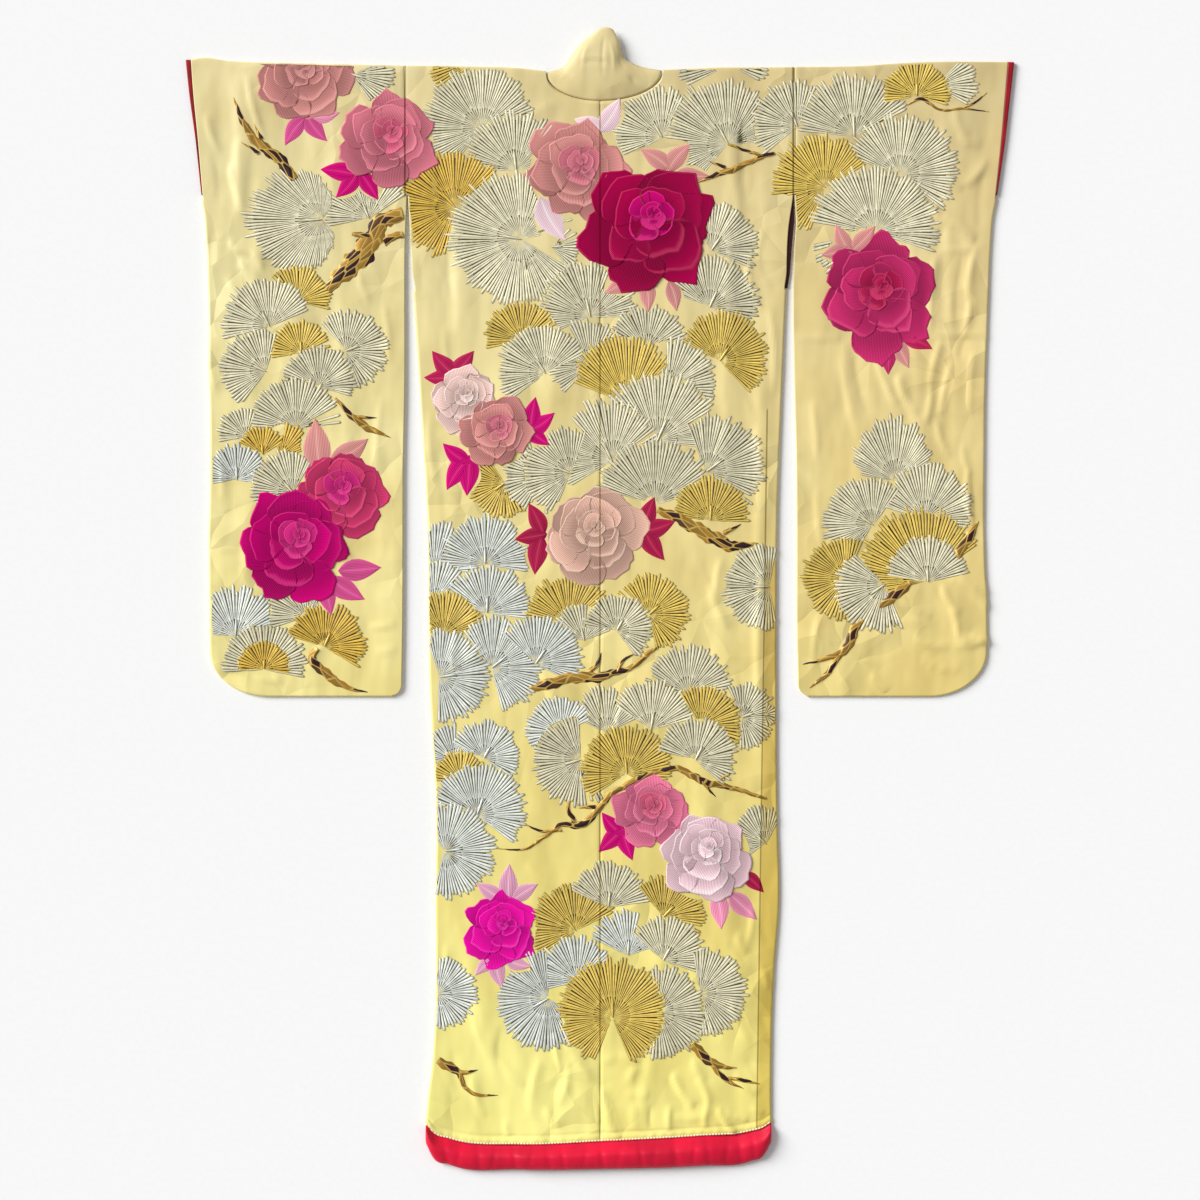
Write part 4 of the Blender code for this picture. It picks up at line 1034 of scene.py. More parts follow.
def piping_silk(name="silk satin on the bias, whip stitched"):
    """Rolled silk edge with small dark stitches slanting over it, one every 5 mm."""
    material, tree = new_finish(name, Roughness=0.45, Specular_IOR_Level=0.4)
    uv = add_node(tree, "UVMap", uv_map="UVMap")
    spacing = {"Vector": uv, "Scale": WAVE / 5.0, "Distortion": 0.6}
    stitches = add_node(tree, "TexWave", spacing, "Fac", wave_type="BANDS", bands_direction="Y")
    colour = add_node(
        tree, "ValToRGB", {"Fac": stitches},
        stops=((0.05, linear("#9C8A50")), (0.30, linear("#F4EFC4")), (1.0, linear("#FBF7D2"))),
    )
    return finished(material, colour)


def declare_laid(node, material):
    node.data.materials.clear()
    node.data.materials.append(material)


# ---- Silk pieces


def level_grid(levels, top, bottom, top_level, bottom_level):
    """Levels of a grid whose first and last rows follow two edges."""
    upward = smooth((levels - top_level + SHOULDER_BLEND) / SHOULDER_BLEND)[:, None]
    downward = smooth((bottom_level + HEM_BLEND - levels) / HEM_BLEND)[:, None]
    return levels[:, None] + (top - top_level) * upward + (bottom - bottom_level) * downward


def body_levels():
    """Rows of a body panel: close together over the hem, even above."""
    return np.concatenate((
        HEM_LEVEL + spaced(0.0, 0.020, 2.0 * MM),
        spaced(HEM_LEVEL + 0.020, HEM_LEVEL + 0.180, 6.0 * MM)[1:],
        spaced(HEM_LEVEL + 0.180, SIDE_OPENING_LEVEL, CELL_ALONG)[1:],
        spaced(SIDE_OPENING_LEVEL, ARMHOLE_LEVEL, CELL_ALONG)[1:],
        spaced(ARMHOLE_LEVEL, SHOULDER_LEVEL, CELL_ALONG)[1:],
    ))


def body_panel(side, material):
    """Back and front of one side in one length, folded at the shoulder.

    Below the side opening the fold at the outer edge joins back and front.
    """
    sign = SIGN[side]
    levels = body_levels()
    closed = smooth((SIDE_OPENING_LEVEL + 0.030 - levels) / 0.030)
    edge = body_edge_x(side, levels) - sign * EDGE_INSET * closed
    neck_x = NECK_ENDS[side][0] + sign * SEAM_GAP
    top_edge = edge[-1]
    neck_share = neck_x / top_edge
    neck_turn = np.linspace(0.0, math.pi / 2, 22)
    near_seam = np.array((0.0, 1.5, 3.5, 6.5)) * MM / abs(top_edge)
    neck = np.sin(neck_turn) * neck_share
    neck = np.concatenate((near_seam, neck[neck > near_seam[-1] + 2.0 * MM]))
    beyond = neck_share + (1.0 - neck_share) * edged(abs(top_edge - neck_x), CELL_ACROSS)[1:]
    shares = np.concatenate((neck, beyond))
    neck_columns = len(neck) - 1

    back_x = edge[:, None] * shares
    back_x[:, 0] = sign * SEAM_GAP / 2
    top = shoulder_y(back_x[-1]) - EDGE_INSET
    top[:neck_columns + 1] = neck_y(back_x[-1, :neck_columns + 1])
    seam_y = hem_y(back_x[0], "seam")
    back_y = level_grid(levels, top, seam_y, SHOULDER_LEVEL, HEM_LEVEL)
    back = np.stack((back_x, back_y, body_z(back_x, back_y)), axis=2)

    seam = collar_seam_x(side, levels)
    inner = np.where(seam * sign > OVERLAP_SEAM[side] * sign, seam, OVERLAP_SEAM[side])
    inner = inner + sign * SEAM_SIDE
    inner[-1] = neck_x
    share = (shares[neck_columns:] - shares[neck_columns]) / (1.0 - shares[neck_columns])
    front_x = inner[:, None] + (edge - inner)[:, None] * share
    front_y = level_grid(
        levels, back_y[-1, neck_columns:], hem_y(front_x[0], "seam"), SHOULDER_LEVEL, HEM_LEVEL,
    )
    front_y[:, -1] = back_y[:, -1]
    front_z = under_z(front_x, front_y)
    if side == "right":
        front_z += (SECOND_LAYER - FLOOR_LAYER) * smooth((0.185 - front_x) / 0.030)
    front = np.stack((front_x, front_y, front_z), axis=2)

    shoulder = fold_strip(back[-1, neck_columns:], front[-1], np.array((0.0, 1.0)))
    sewn = levels <= SIDE_OPENING_LEVEL + MM
    upper = back[sewn, -1]
    side_fold = fold_strip(upper, front[sewn, -1], outward_of(upper, sign))
    grids = [(grid,) for grid in (back, front, shoulder, side_fold)]
    piece = shell(f"silk_body_{side}", grids, material, f"body_{side}")
    width = np.abs(back_x[:, -1] - back_x[:, 0]), np.abs(front_x[:, -1] - front_x[:, 0])
    return piece, width, levels


def sleeve_levels():
    """Rows of a sleeve, close together where its lower corners are round."""
    rise = OUTER_CORNER[1]
    corner = SLEEVE_END_LEVEL + rise * (1.0 - np.cos(np.linspace(0.0, math.pi / 2, 16)))
    return np.concatenate((
        corner,
        spaced(SLEEVE_END_LEVEL + rise, ARMHOLE_LEVEL, CELL_ALONG)[1:],
        spaced(ARMHOLE_LEVEL, SHOULDER_LEVEL, CELL_ALONG)[1:],
    ))


def sleeve_grid(side):
    """Upper layer of a sleeve as a grid of points, from its end to the shoulder."""
    levels = sleeve_levels()
    inner, outer = sleeve_edges_x(side, levels)
    across = edged(abs(outer[-1] - inner[-1]), CELL_ACROSS)
    x = inner[:, None] + (outer - inner)[:, None] * across
    top = shoulder_y(x[-1]) - EDGE_INSET
    bottom = np.full_like(x[0], SLEEVE_END_LEVEL + EDGE_INSET)
    y = level_grid(levels, top, bottom, SHOULDER_LEVEL, SLEEVE_END_LEVEL)
    return np.stack((x, y, sleeve_z(x, y)), axis=2), levels


def sleeve(side, material):
    """Long sleeve: a flat bag, open at the cuff and along the body."""
    upper, levels = sleeve_grid(side)
    lower = upper.copy()
    lower[:, :, 2] = under_z(lower[:, :, 0], lower[:, :, 1])
    top_fold = fold_strip(upper[-1], lower[-1], np.array((0.0, 1.0)))
    sewn = np.flatnonzero(levels < ARMHOLE_LEVEL - MM)[::-1]
    outline = np.concatenate((upper[sewn, -1], upper[0, -2::-1]))
    under = np.concatenate((lower[sewn, -1], lower[0, -2::-1]))
    end_fold = fold_strip(outline, under, outward_of(outline, -SIGN[side]))
    grids = [(grid,) for grid in (upper, lower, top_fold, end_fold)]
    return shell(f"silk_sleeve_{side}", grids, material, f"sleeve_{side}")


def cuff_edge(side, material):
    """Red edge of the lining, along the cuff opening and round the shoulder fold."""
    upper, levels = sleeve_grid(side)
    lower = upper.copy()
    lower[:, :, 2] = under_z(lower[:, :, 0], lower[:, :, 1])
    open_rows = levels >= ARMHOLE_LEVEL - MM
    fold = fold_strip(upper[-1], lower[-1], np.array((0.0, 1.0)))
    path = np.concatenate((upper[open_rows, -1], fold[1:-1, -1], lower[open_rows, -1][::-1]))
    width = np.interp(path[:, 1], CUFF_WIDTHS["level"], CUFF_WIDTHS[side])
    columns = np.repeat(path[None], 5, axis=0)
    share = np.linspace(0.0, 1.0, 5)[:, None]
    columns[:, :, 0] += SIGN[side] * (SEAM_GAP + width * share)
    return shell(f"red_cuff_{side}", [(columns,)], material, f"cuff_{side}")


def hood_rows():
    """Cross lines of the collar round the back of the neck, fold to fold."""
    left_x, left_y, right_x, right_y, back_y, top_z, fold_z = (
        follow(HOOD, name, HOOD_SHARES) for name in list(HOOD)[1:]
    )
    turn = np.radians(np.linspace(-90.0, 90.0, HOOD_TURNS))[:, None]
    across, facing = np.sin(turn), np.maximum(np.cos(turn), 0.0)
    middle = HOOD_LEAN * HOOD_SHARES
    side_x = np.where(across > 0.0, right_x, left_x)
    side_y = np.where(across > 0.0, right_y, left_y)
    base_fold = fold_z + RIGHT_FOLD_LIFT * smooth(across)
    x = middle + (side_x - middle) * np.abs(across)
    y = side_y + (back_y - side_y) * facing
    z = base_fold + (top_z - base_fold) * facing ** 0.6
    clearance = np.interp(np.abs(across[:, 0]), (0.0, 1.0), HOOD_CLEARANCE)
    x[:, 0] -= clearance * across[:, 0]
    y[:, 0] += clearance * facing[:, 0]
    held = smooth(HOOD_SHARES / 0.15) * facing ** 0.5
    z += creases(COLLAR_CREASES, x, y) * held
    return np.stack((x, y, z), axis=2)


def run_rows(side):
    """Cross lines of the collar down one front, from under the neck to its foot."""
    sign = SIGN[side]
    height = FLOOR_LAYER if side == "left" else SECOND_LAYER
    start = NECK_ENDS[side][1] - RUN_DROP
    along = np.linspace(0.0, 1.0, RUN_ROWS)[:, None]
    level = start + (COLLAR_FOOT_LEVEL - start) * along
    seam = collar_seam_x(side, level) - sign * SEAM_SIDE
    width = COLLAR_FRONT_WIDTH + (COLLAR_FOOT_WIDTH - COLLAR_FRONT_WIDTH) * along
    x = seam - sign * width * HOOD_SHARES
    y = level + RUN_TILT * (1.0 - along) ** 2 * HOOD_SHARES
    return np.stack((x, y, np.full_like(x, height)), axis=2)


def collar(material):
    """Wide collar: a band down both fronts that stands round the back of the neck."""
    hood = hood_rows()
    turned = {}
    for side, fold_row in (("left", hood[0]), ("right", hood[-1])):
        run = run_rows(side)
        height = run[0, 0, 2]
        under = []
        for share in UNDER_SHARES:
            row = fold_row + (run[0] - fold_row) * share
            drop = smooth(share / UNDER_SHARES[1])
            row[:, 2] = fold_row[:, 2] + (height - fold_row[:, 2]) * drop
            seam = collar_seam_x(side, row[0, 1]) - SIGN[side] * HOOD_CLEARANCE[1]
            row[0, 0] = SIGN[side] * min(SIGN[side] * row[0, 0], SIGN[side] * seam)
            under.append(row)
        turned[side] = np.concatenate((under, run))
    band = np.concatenate((turned["left"][::-1], hood, turned["right"]))
    return shell("silk_collar", [(band,)], material, "collar", even=False)


# ---- Padded hem


def roll_profile(thickness):
    """Upper and lower line of a padded roll, from its seam to its rounded end."""
    beyond = np.clip((ROLL_SHARES - ROLL_FULL) / (1.0 - ROLL_FULL), 0.0, 1.0)
    end_round = np.sqrt(1.0 - beyond ** 2)
    body = ROLL_EDGE + (thickness - ROLL_EDGE) * smooth(ROLL_SHARES / ROLL_FULL)
    lift = 0.30 * thickness
    upper = np.where(beyond > 0.0, lift + (thickness - lift) * end_round, body)
    return upper, np.where(beyond > 0.0, lift * (1.0 - end_round), 0.0)


def stack_under(name, x):
    """What lies under each roll: nothing, the left front's roll, or one or both fronts' rolls."""
    upper, _ = roll_profile(FRONT_ROLL)
    one = smooth((RIGHT_ROLL_LIFT[0] - x) / RIGHT_ROLL_LIFT[1])
    stacks = {"left": 0.0 * x, "right": one, "back": 1.0 + between(x, *BACK_ROLL_LIFT)}
    return (upper + LAYER_GAP) * stacks[name]


def hem_roll(name, ends, thickness, material):
    """Padded red roll along the hem: its profile carried along the seam, with puckers."""
    x = spaced(ends[0], ends[1], ROLL_STEP)[:, None]
    upper, lower = roll_profile(thickness)
    distance = np.minimum(np.abs(x - ends[0]), np.abs(x - ends[1]))
    scale = np.interp(distance, ROLL_END_STEPS, ROLL_END_SCALE)
    for place, half_width, depth in np.array(PUCKERS) * (MM, MM, 1.0):
        lean = 6.0 * MM * (ROLL_SHARES - 0.5) * math.copysign(1.0, depth - 0.09)
        scale = scale * (1.0 - depth * np.exp(-((x - place - lean) / half_width) ** 2))
    seam = hem_y(x, "seam") - SEAM_GAP
    y = seam + (hem_y(x, "end") - seam) * ROLL_SHARES
    bottom = stack_under(name, x) + lower
    top = stack_under(name, x) + np.maximum(upper * scale, lower + 0.3 * MM)
    top[:, -1] = bottom[:, -1] = (top[:, -1] + bottom[:, -1]) / 2
    over, below = (np.stack((x + 0.0 * y, y, z), axis=2) for z in (top, bottom))
    loop = np.concatenate((over, below[:, -2::-1], over[:, :1]), axis=1)
    points, quads, _ = joined([(loop,)])
    mesh = sewn_mesh(name, points, quads, 0.01 * MM, cap_sides=loop.shape[1])
    piece = add_piece(f"padded_hem_{name}", mesh, material, f"hem_{name}")
    return piece


# ---- Embroidery


def silk_z(x, y):
    """Upper face of the silk that the work is sewn on, without its pressed seams."""
    on_body = smooth((np.abs(edge_beside(x, y)) - np.abs(x)) / (2.0 * MM) + 0.5)
    return (
        UPPER_LAYER + WALL / 2 + on_body * back_relief(x, y)
        + (1.0 - on_body) * gentle(creases(SLEEVE_CREASES, x, y))
    )


def on_silk(x, y, inset=1.5 * MM):
    """True where a point lies on the back or on a sleeve, clear of every edge."""
    left, right = body_edge_x("left", y), body_edge_x("right", y)
    inside = (
        (x > left + inset) & (x < right - inset)
        & (y > hem_y(x, "seam") + 12.0 * MM) & (y < SHOULDER_LEVEL + 0.02)
    )
    inside &= (x <= NECK_ENDS["left"][0]) | (x >= NECK_ENDS["right"][0]) | (y <= neck_y(x) - inset)
    for side, sign in SIGN.items():
        inner, outer = sleeve_edges_x(side, y)
        gap = np.where(y > ARMHOLE_LEVEL, -2.0 * inset, inset)
        inside |= (
            (x * sign > inner * sign + gap) & (x * sign < outer * sign - inset)
            & (y > SLEEVE_END_LEVEL + 6.0 * MM)
        )
    beside = np.minimum(np.abs(x - left), np.abs(x - right)) < 2.0 * inset
    return (inside | ((y > ARMHOLE_LEVEL) & beside)) & (y < shoulder_y(x) - EDGE_INSET)


def placed(start, turn, forward, aside=0.0):
    """Places that lie forward along a direction from a start in millimetres, and aside of it."""
    x = start[0] * MM + forward * np.cos(turn) - aside * np.sin(turn)
    y = start[1] * MM + forward * np.sin(turn) + aside * np.cos(turn)
    return x, y


def fan_cover(fan, x, y):
    """True where a fan's own needles lie: a sector whose reach shrinks to its sides."""
    base_x, base_y, reach, facing, spread, narrowing, _ = fan
    away_x, away_y = x - base_x * MM, y - base_y * MM
    turn = (np.degrees(np.arctan2(away_y, away_x)) - facing + 180.0) % 360.0 - 180.0
    share = np.abs(turn) / (spread / 2)
    limit = reach * MM * (1.0 - narrowing * np.clip(share, 0.0, 1.0) ** 1.5) * FAN_COVER
    return (share < 1.0) & (np.hypot(away_x, away_y) < limit)


def bloom_cover(bloom, x, y):
    """True inside a bloom."""
    return np.hypot(x - bloom[0] * MM, y - bloom[1] * MM) < bloom[2] * MM / 2 * BLOOM_COVER


def leaf_cover(leaf, x, y):
    """True inside a leaf's oval."""
    turn, length = math.radians(leaf[2]), (leaf[3] + LEAF_TUCK) * MM
    away_x, away_y = x - leaf[0] * MM, y - leaf[1] * MM
    along = (away_x * math.cos(turn) + away_y * math.sin(turn) + LEAF_TUCK * MM) / length
    across = (away_y * math.cos(turn) - away_x * math.sin(turn)) / length
    oval = LEAF_COVER * np.sin(np.pi * np.clip(along, 0.0, 1.0))
    return (along > 0.0) & (along < 1.0) & (np.abs(across) < oval)


def uncovered(index, x, y):
    """True on the fan's own panel and clear of later fans, blooms and leaves."""
    on_body = abs(FANS[index][0]) < BODY_FAN_REACH
    own = (y > ARMHOLE_LEVEL) | ((np.abs(x) < np.abs(edge_beside(x, y))) == on_body)
    shown = on_silk(x, y) & own
    later = ((fan_cover, FANS[index + 1:]), (bloom_cover, BLOOMS), (leaf_cover, LEAVES))
    for covers, laid in later:
        for work in laid:
            shown &= ~covers(work, x, y)
    return shown


def fan_needles(index, rng, sizes):
    """Couched needles of one fan, and the darker filling they lie on, coloured with the grooves'
    painted shade.

    Needles are rounded ridges along rays from the fan's base.  Each ray keeps the
    stretch that lies on the silk and under no later fan or bloom, and the filling
    is the sheet that joins those stretches.
    """
    base, (reach, facing, spread, narrowing, thread) = FANS[index][:2], FANS[index][2:]
    reach, spread = reach * MM, math.radians(spread)
    count = int(round(spread * reach / sizes.needle_pitch)) + 1
    side = np.linspace(-1.0, 1.0, count)
    step = spread / (count - 1)
    turn = math.radians(facing) + side * spread / 2
    turn = (turn + rng.uniform(-NEEDLE_SWAY, NEEDLE_SWAY, count) * step)[:, None]
    length = reach * (1.0 - narrowing * np.abs(side) ** 1.5) * rng.uniform(*NEEDLE_LENGTHS, count)
    length = length[:, None]

    begins = np.resize(NEEDLE_STARTS, count)[:, None]
    along = (begins + (1.0 - begins) * np.linspace(0.0, 1.0, CLIP_SAMPLES)) * length
    shown = uncovered(index, *placed(base, turn, along))
    first = np.argmax(shown, axis=1)
    behind = np.arange(CLIP_SAMPLES)[None, :] < first[:, None]
    run = np.cumprod(shown | behind, axis=1).sum(axis=1) - 1
    kept = shown.any(axis=1) & (run - first >= SHORTEST_RUN)
    start = np.take_along_axis(along, first[:, None], 1)
    end = np.take_along_axis(along, run[:, None], 1)
    whole = (run == CLIP_SAMPLES - 1)[:, None]

    radius = start + (end - start) * NEEDLE_STATIONS
    share = radius / length
    apart = radius * step * np.select((share < 0.16, share < 0.34), (4.0, 2.0), 1.0)
    half = np.minimum(sizes.needle_half, NEEDLE_FILL * apart) * np.where(whole, NEEDLE_TAPER, 1.0)
    across = np.array((-1.0, 0.0, 1.0))
    x, y = placed(base, turn[:, :, None], radius[:, :, None], half[:, :, None] * across)
    tip = NEEDLE_TIP * smooth((NEEDLE_STATIONS - 0.75) / 0.25) * whole
    slope = NEEDLE_SLOPE * (0.45 + 0.55 * smooth(share / 0.45))
    rise = (np.minimum(sizes.needle_rise, slope * half) + tip)[:, :, None] * (1.0 - np.abs(across))
    lift = FAN_LIFT * index
    z = silk_z(x, y) + lift + rise + 0.1 * MM * np.abs(across)
    points = np.stack((x, y, z), axis=-1)[kept]
    share = np.broadcast_to(share[:, :, None], x.shape)
    uv = np.stack((np.broadcast_to((across + 1.0) / 2, x.shape), share), axis=-1)[kept]
    shade = rng.uniform(*NEEDLE_TONES, (count, 1, 1, 1)) * rng.uniform(*FAN_TONES)
    dye = np.array(linear(THREADS[thread]))
    tint = np.broadcast_to(dye * shade, (*x.shape, 3))[kept]

    foot, limit = (share * length for share in FILLING_SPAN)
    near = np.where(kept[:, None], start, foot)
    far = np.where(kept[:, None], np.minimum(end, limit), foot)
    radius = near + np.maximum(far - near, 0.0) * np.linspace(0.0, 1.0, 9)
    x, y = placed(base, turn, radius)
    filling = np.stack((x, y, silk_z(x, y) + lift + GROUND_RISE), axis=-1)
    # The filling takes the dark end of the thread's ramp: partly a darker couched ground, partly
    # painted shade between the needles.
    groove_shade_uv = np.stack((0.0 * x + 0.07, radius / length), axis=-1)
    return [(points, uv, tint), (filling, groove_shade_uv, np.broadcast_to(dye, filling.shape))]


def fan_stem(index):
    """Raised lens at a fan's base, along the way the fan faces."""
    _, _, reach, facing, _, _, thread = FANS[index]
    along = np.linspace(0.0, 1.0, 9)[:, None]
    across = np.linspace(-1.0, 1.0, 5)[None, :]
    half = STEM_HALF * np.sin(np.pi * np.clip(along * 0.92 + 0.06, 0.0, 1.0)) ** 0.7
    forward = along * reach * MM * STEM_REACH
    x, y = placed(FANS[index], math.radians(facing), forward, half * across)
    if not uncovered(index, x, y).all():
        return []
    z = silk_z(x, y) + FAN_LIFT * index + STEM_RISE * np.sqrt(1.0 - 0.96 * across ** 2)
    uv = np.stack((0.5 * (across + 1.0) + 0.0 * along, 0.7 + 0.0 * across + 0.0 * along), -1)
    tint = np.broadcast_to(0.88 * np.array(linear(THREADS[thread])), (*x.shape, 3))
    return [(np.stack((x, y, z), axis=-1), uv, tint)]


def petal_grids(bloom, rng):
    """Petals of one bloom, ring by ring: domed sectors with a lobed rim turned down.

    A petal's height is its ring's lift plus a dome across it.  It is dark where the
    ring inside shades it, and its turned edge is paler.
    """
    middle_x, middle_y, width, turned, pointed, outer_silk, inner_silk, over = bloom
    across, along = np.meshgrid(PETAL_ACROSS, PETAL_ALONG)
    grids = []
    turned = math.radians(turned)
    for ring, (inner, outer, count, half_angle, lift, turned_edge) in enumerate(RINGS):
        share = ring / (len(RINGS) - 1)
        silk = np.array(linear(SILKS[inner_silk if ring > 2 else outer_silk]))
        shaded_to = RINGS[ring + 1][1] if ring + 1 < len(RINGS) else 0.04
        turned += 0.6 + rng.uniform(0.0, 0.5)
        for petal in range(count):
            turn = turned + (petal + rng.uniform(-0.10, 0.10)) * 2.0 * math.pi / count
            spread = math.radians(half_angle) * rng.uniform(*PETAL_SPANS)
            tip = rng.uniform(-0.35, 0.35)
            point = (0.06 + 0.16 * pointed) * (1.0 - 0.5 * share)
            point = point * np.exp(-np.abs(across - tip) / 0.24)
            lobe = 0.035 * np.cos(rng.uniform(4.5, 7.5) * across + rng.uniform(0.0, 6.0))
            ruffle = 0.016 * np.cos(rng.uniform(11.0, 17.0) * across + rng.uniform(0.0, 6.0))
            rim = outer * (0.86 - 0.10 * across ** 2 - 0.20 * across ** 8 + point + lobe + ruffle)
            rim *= rng.uniform(*PETAL_SIZES)
            radius = (inner + (rim - inner) * along) * width * MM / 2
            angle = turn + spread * across * (0.80 + 0.20 * np.sin(np.pi * 0.8 * along))
            x = (middle_x + 0.04 * share * width) * MM + radius * np.cos(angle)
            y = (middle_y + RING_OFFSET * share ** 0.7 * width) * MM + radius * np.sin(angle)
            y = np.minimum(y, shoulder_y(x) - TOP_CLEARANCE)
            inward = np.minimum((1.0 - along), (1.0 - np.abs(across)) * 0.7)
            cord = np.exp(-((inward - 0.05) / 0.03) ** 2)
            fall = 1.0 - smooth(inward / 0.045)
            dome = over + PETAL_TILT * across + PETAL_CORD * cord - PETAL_FALL * fall
            z = silk_z(x, y) + lift + dome * MM
            if ring == 0:
                z = np.where(along > 0.99, silk_z(x, y) - 0.1 * MM, z)
            reach = radius / (width * MM / 2)
            lit = smooth((reach - 0.74 * shaded_to) / (0.34 * shaded_to + 0.08))
            tone = rng.uniform(*PETAL_TONES) * (0.66 + 0.34 * lit) * (1.0 - 0.10 * across)
            facing_down = max(0.0, -math.sin(turn)) * (0 < ring < 5)
            band = turned_edge * (1.0 + 4.0 * facing_down * (1.0 - across ** 2))
            edge = 1.0 - smooth((inward - band) / 0.02)
            pale = np.minimum(silk * 1.45 + 0.07, 1.0)
            tint = silk * tone[..., None]
            tint = tint + (pale - tint) * (EDGE_PALE * edge[..., None])
            # Dark rim: the outline stitch, and partly painted shade where the petal falls to the
            # next.
            tint = tint * (1.0 - RIM_SHADE * (1.0 - smooth(inward / 0.02)))[..., None]
            uv = np.stack((spread * radius * across / MM, radius / MM), axis=-1)
            grids.append((np.stack((x, y, z), axis=-1), uv, tint))
    return grids


def leaf_grid(leaf, rng):
    """Pointed oval leaf with a pressed vein: width grows as the sine of its length."""
    foot_x, foot_y, turned, length, silk = leaf
    foot_x -= LEAF_TUCK * math.cos(math.radians(turned))
    foot_y -= LEAF_TUCK * math.sin(math.radians(turned))
    length = (length + LEAF_TUCK) * MM
    along, across = np.meshgrid(LEAF_ALONG, LEAF_ACROSS, indexing="ij")
    turn = math.radians(turned) + 0.35 * rng.uniform(-1.0, 1.0) * (along - 0.5)
    half = LEAF_HALF * length * np.sin(np.pi * along ** 0.85) ** 0.9 * (1.0 - 0.25 * along)
    x, y = placed((foot_x, foot_y), turn, length * along, half * across)
    y = np.minimum(y, shoulder_y(x) - TOP_CLEARANCE)
    vein = np.exp(-(across / 0.10) ** 2)
    edge = smooth((np.abs(across) - 0.80) / 0.2)
    z = silk_z(x, y) + 0.55 * MM * (1.0 - edge) + 0.4 * MM * (1.0 - across ** 2) - 0.3 * MM * vein
    base = np.array(linear(SILKS[silk]))
    tone = rng.uniform(0.9, 1.1) * (0.80 + 0.30 * along)[..., None]
    light = np.minimum(base * 1.7 + 0.05, 1.0)
    mark = np.maximum(0.7 * vein, 0.45 * edge)[..., None]
    tint = base * tone * (1.0 - mark) + light * mark
    uv = np.stack((across * half, length * along), axis=-1) / MM
    return np.stack((x, y, z), axis=-1), uv, tint


def bough_grid(path, rng):
    """Bough: a half-round ridge carried along a smooth line, knotted and tapering."""
    x0, y0, half0 = np.array(path, dtype=float).T * MM
    reach = np.concatenate(((0.0,), np.cumsum(np.hypot(np.diff(x0), np.diff(y0)))))
    at = spaced(0.0, reach[-1], BOUGH_STEP)
    x, y, half = (curve(reach, values, at) for values in (x0, y0, half0))
    knots = 1.0
    for depth, pitch in BOUGH_KNOTS:
        knots = knots + depth * np.sin(at / pitch + rng.uniform(0.0, 6.0))
    half = np.maximum(half, 0.3 * MM)
    run_x, run_y = np.gradient(x), np.gradient(y)
    size = np.hypot(run_x, run_y)
    run_x, run_y = run_x / size, run_y / size
    across = BOUGH_ACROSS[None, :]
    wide = half[:, None] * (1.0 + (knots[:, None] - 1.0) * np.sign(across)) * across
    px = x[:, None] - run_y[:, None] * wide
    py = y[:, None] + run_x[:, None] * wide
    rise = np.minimum(BOUGH_RISE, 0.9 * half)[:, None] * np.sqrt(1.0 - 0.98 * across ** 2)
    bark = 0.25 * MM * np.sin(at[:, None] / (3.0 * MM) + 5.0 * across)
    pz = silk_z(px, py) + rise + bark * (1.0 - across ** 2) - 0.15 * MM * np.abs(across)
    uv = np.stack((wide / MM, np.broadcast_to(at[:, None] / MM, wide.shape)), axis=-1)
    flags = on_silk(px, py, 0.0).all(axis=1)
    return (np.stack((px, py, pz), axis=-1)[flags], uv[flags]) if flags.sum() > 2 else None


def seams_and_wrap_shade(tree, colour):
    """Darken a colour along the seams, and paint a little shade where the silk wraps round the
    right side.

    Each seam is a straight line; its strength falls off with distance sideways.
    """
    place = add_node(tree, "TexCoord", out="Object")
    x, y = (add_node(tree, "SeparateXYZ", {0: place}, axis) for axis in "XY")
    for seam, lean, middle, half, first, last, tint in SEAMS_AND_WRAP_SHADE:
        away = add_node(tree, "Math", {0: y, 1: -lean, 2: x}, operation="MULTIPLY_ADD")
        shares = []
        length = (y, middle, half + SEAM_FADE, half)
        for at, origin, start, end in ((away, seam, first, last), length):
            off = add_node(tree, "Math", {0: at, 1: origin}, operation="SUBTRACT")
            off = add_node(tree, "Math", {0: off}, operation="ABSOLUTE")
            shares.append(
                add_node(tree, "MapRange", {"Value": off, "From Min": start, "From Max": end}))
        drawn = add_node(tree, "Math", dict(enumerate(shares)), operation="MULTIPLY")
        # The last line's darkening is painted shade on the silk turning round the right side.
        dark = (*linear(tint), 1.0)
        colour = add_node(tree, "Mix", {"Factor": drawn, "A": colour, "B": dark}, **MULTIPLY)
    return colour


def dyed_thread(tree, colour):
    """Multiply a colour by the thread's own dye, kept on the mesh."""
    dye = add_node(
        tree, "Attribute", out="Color", attribute_name="thread", attribute_type="GEOMETRY",
    )
    dyed = add_node(tree, "Mix", {"Factor": 1.0, "A": colour, "B": dye}, **MULTIPLY)
    return seams_and_wrap_shade(tree, dyed)


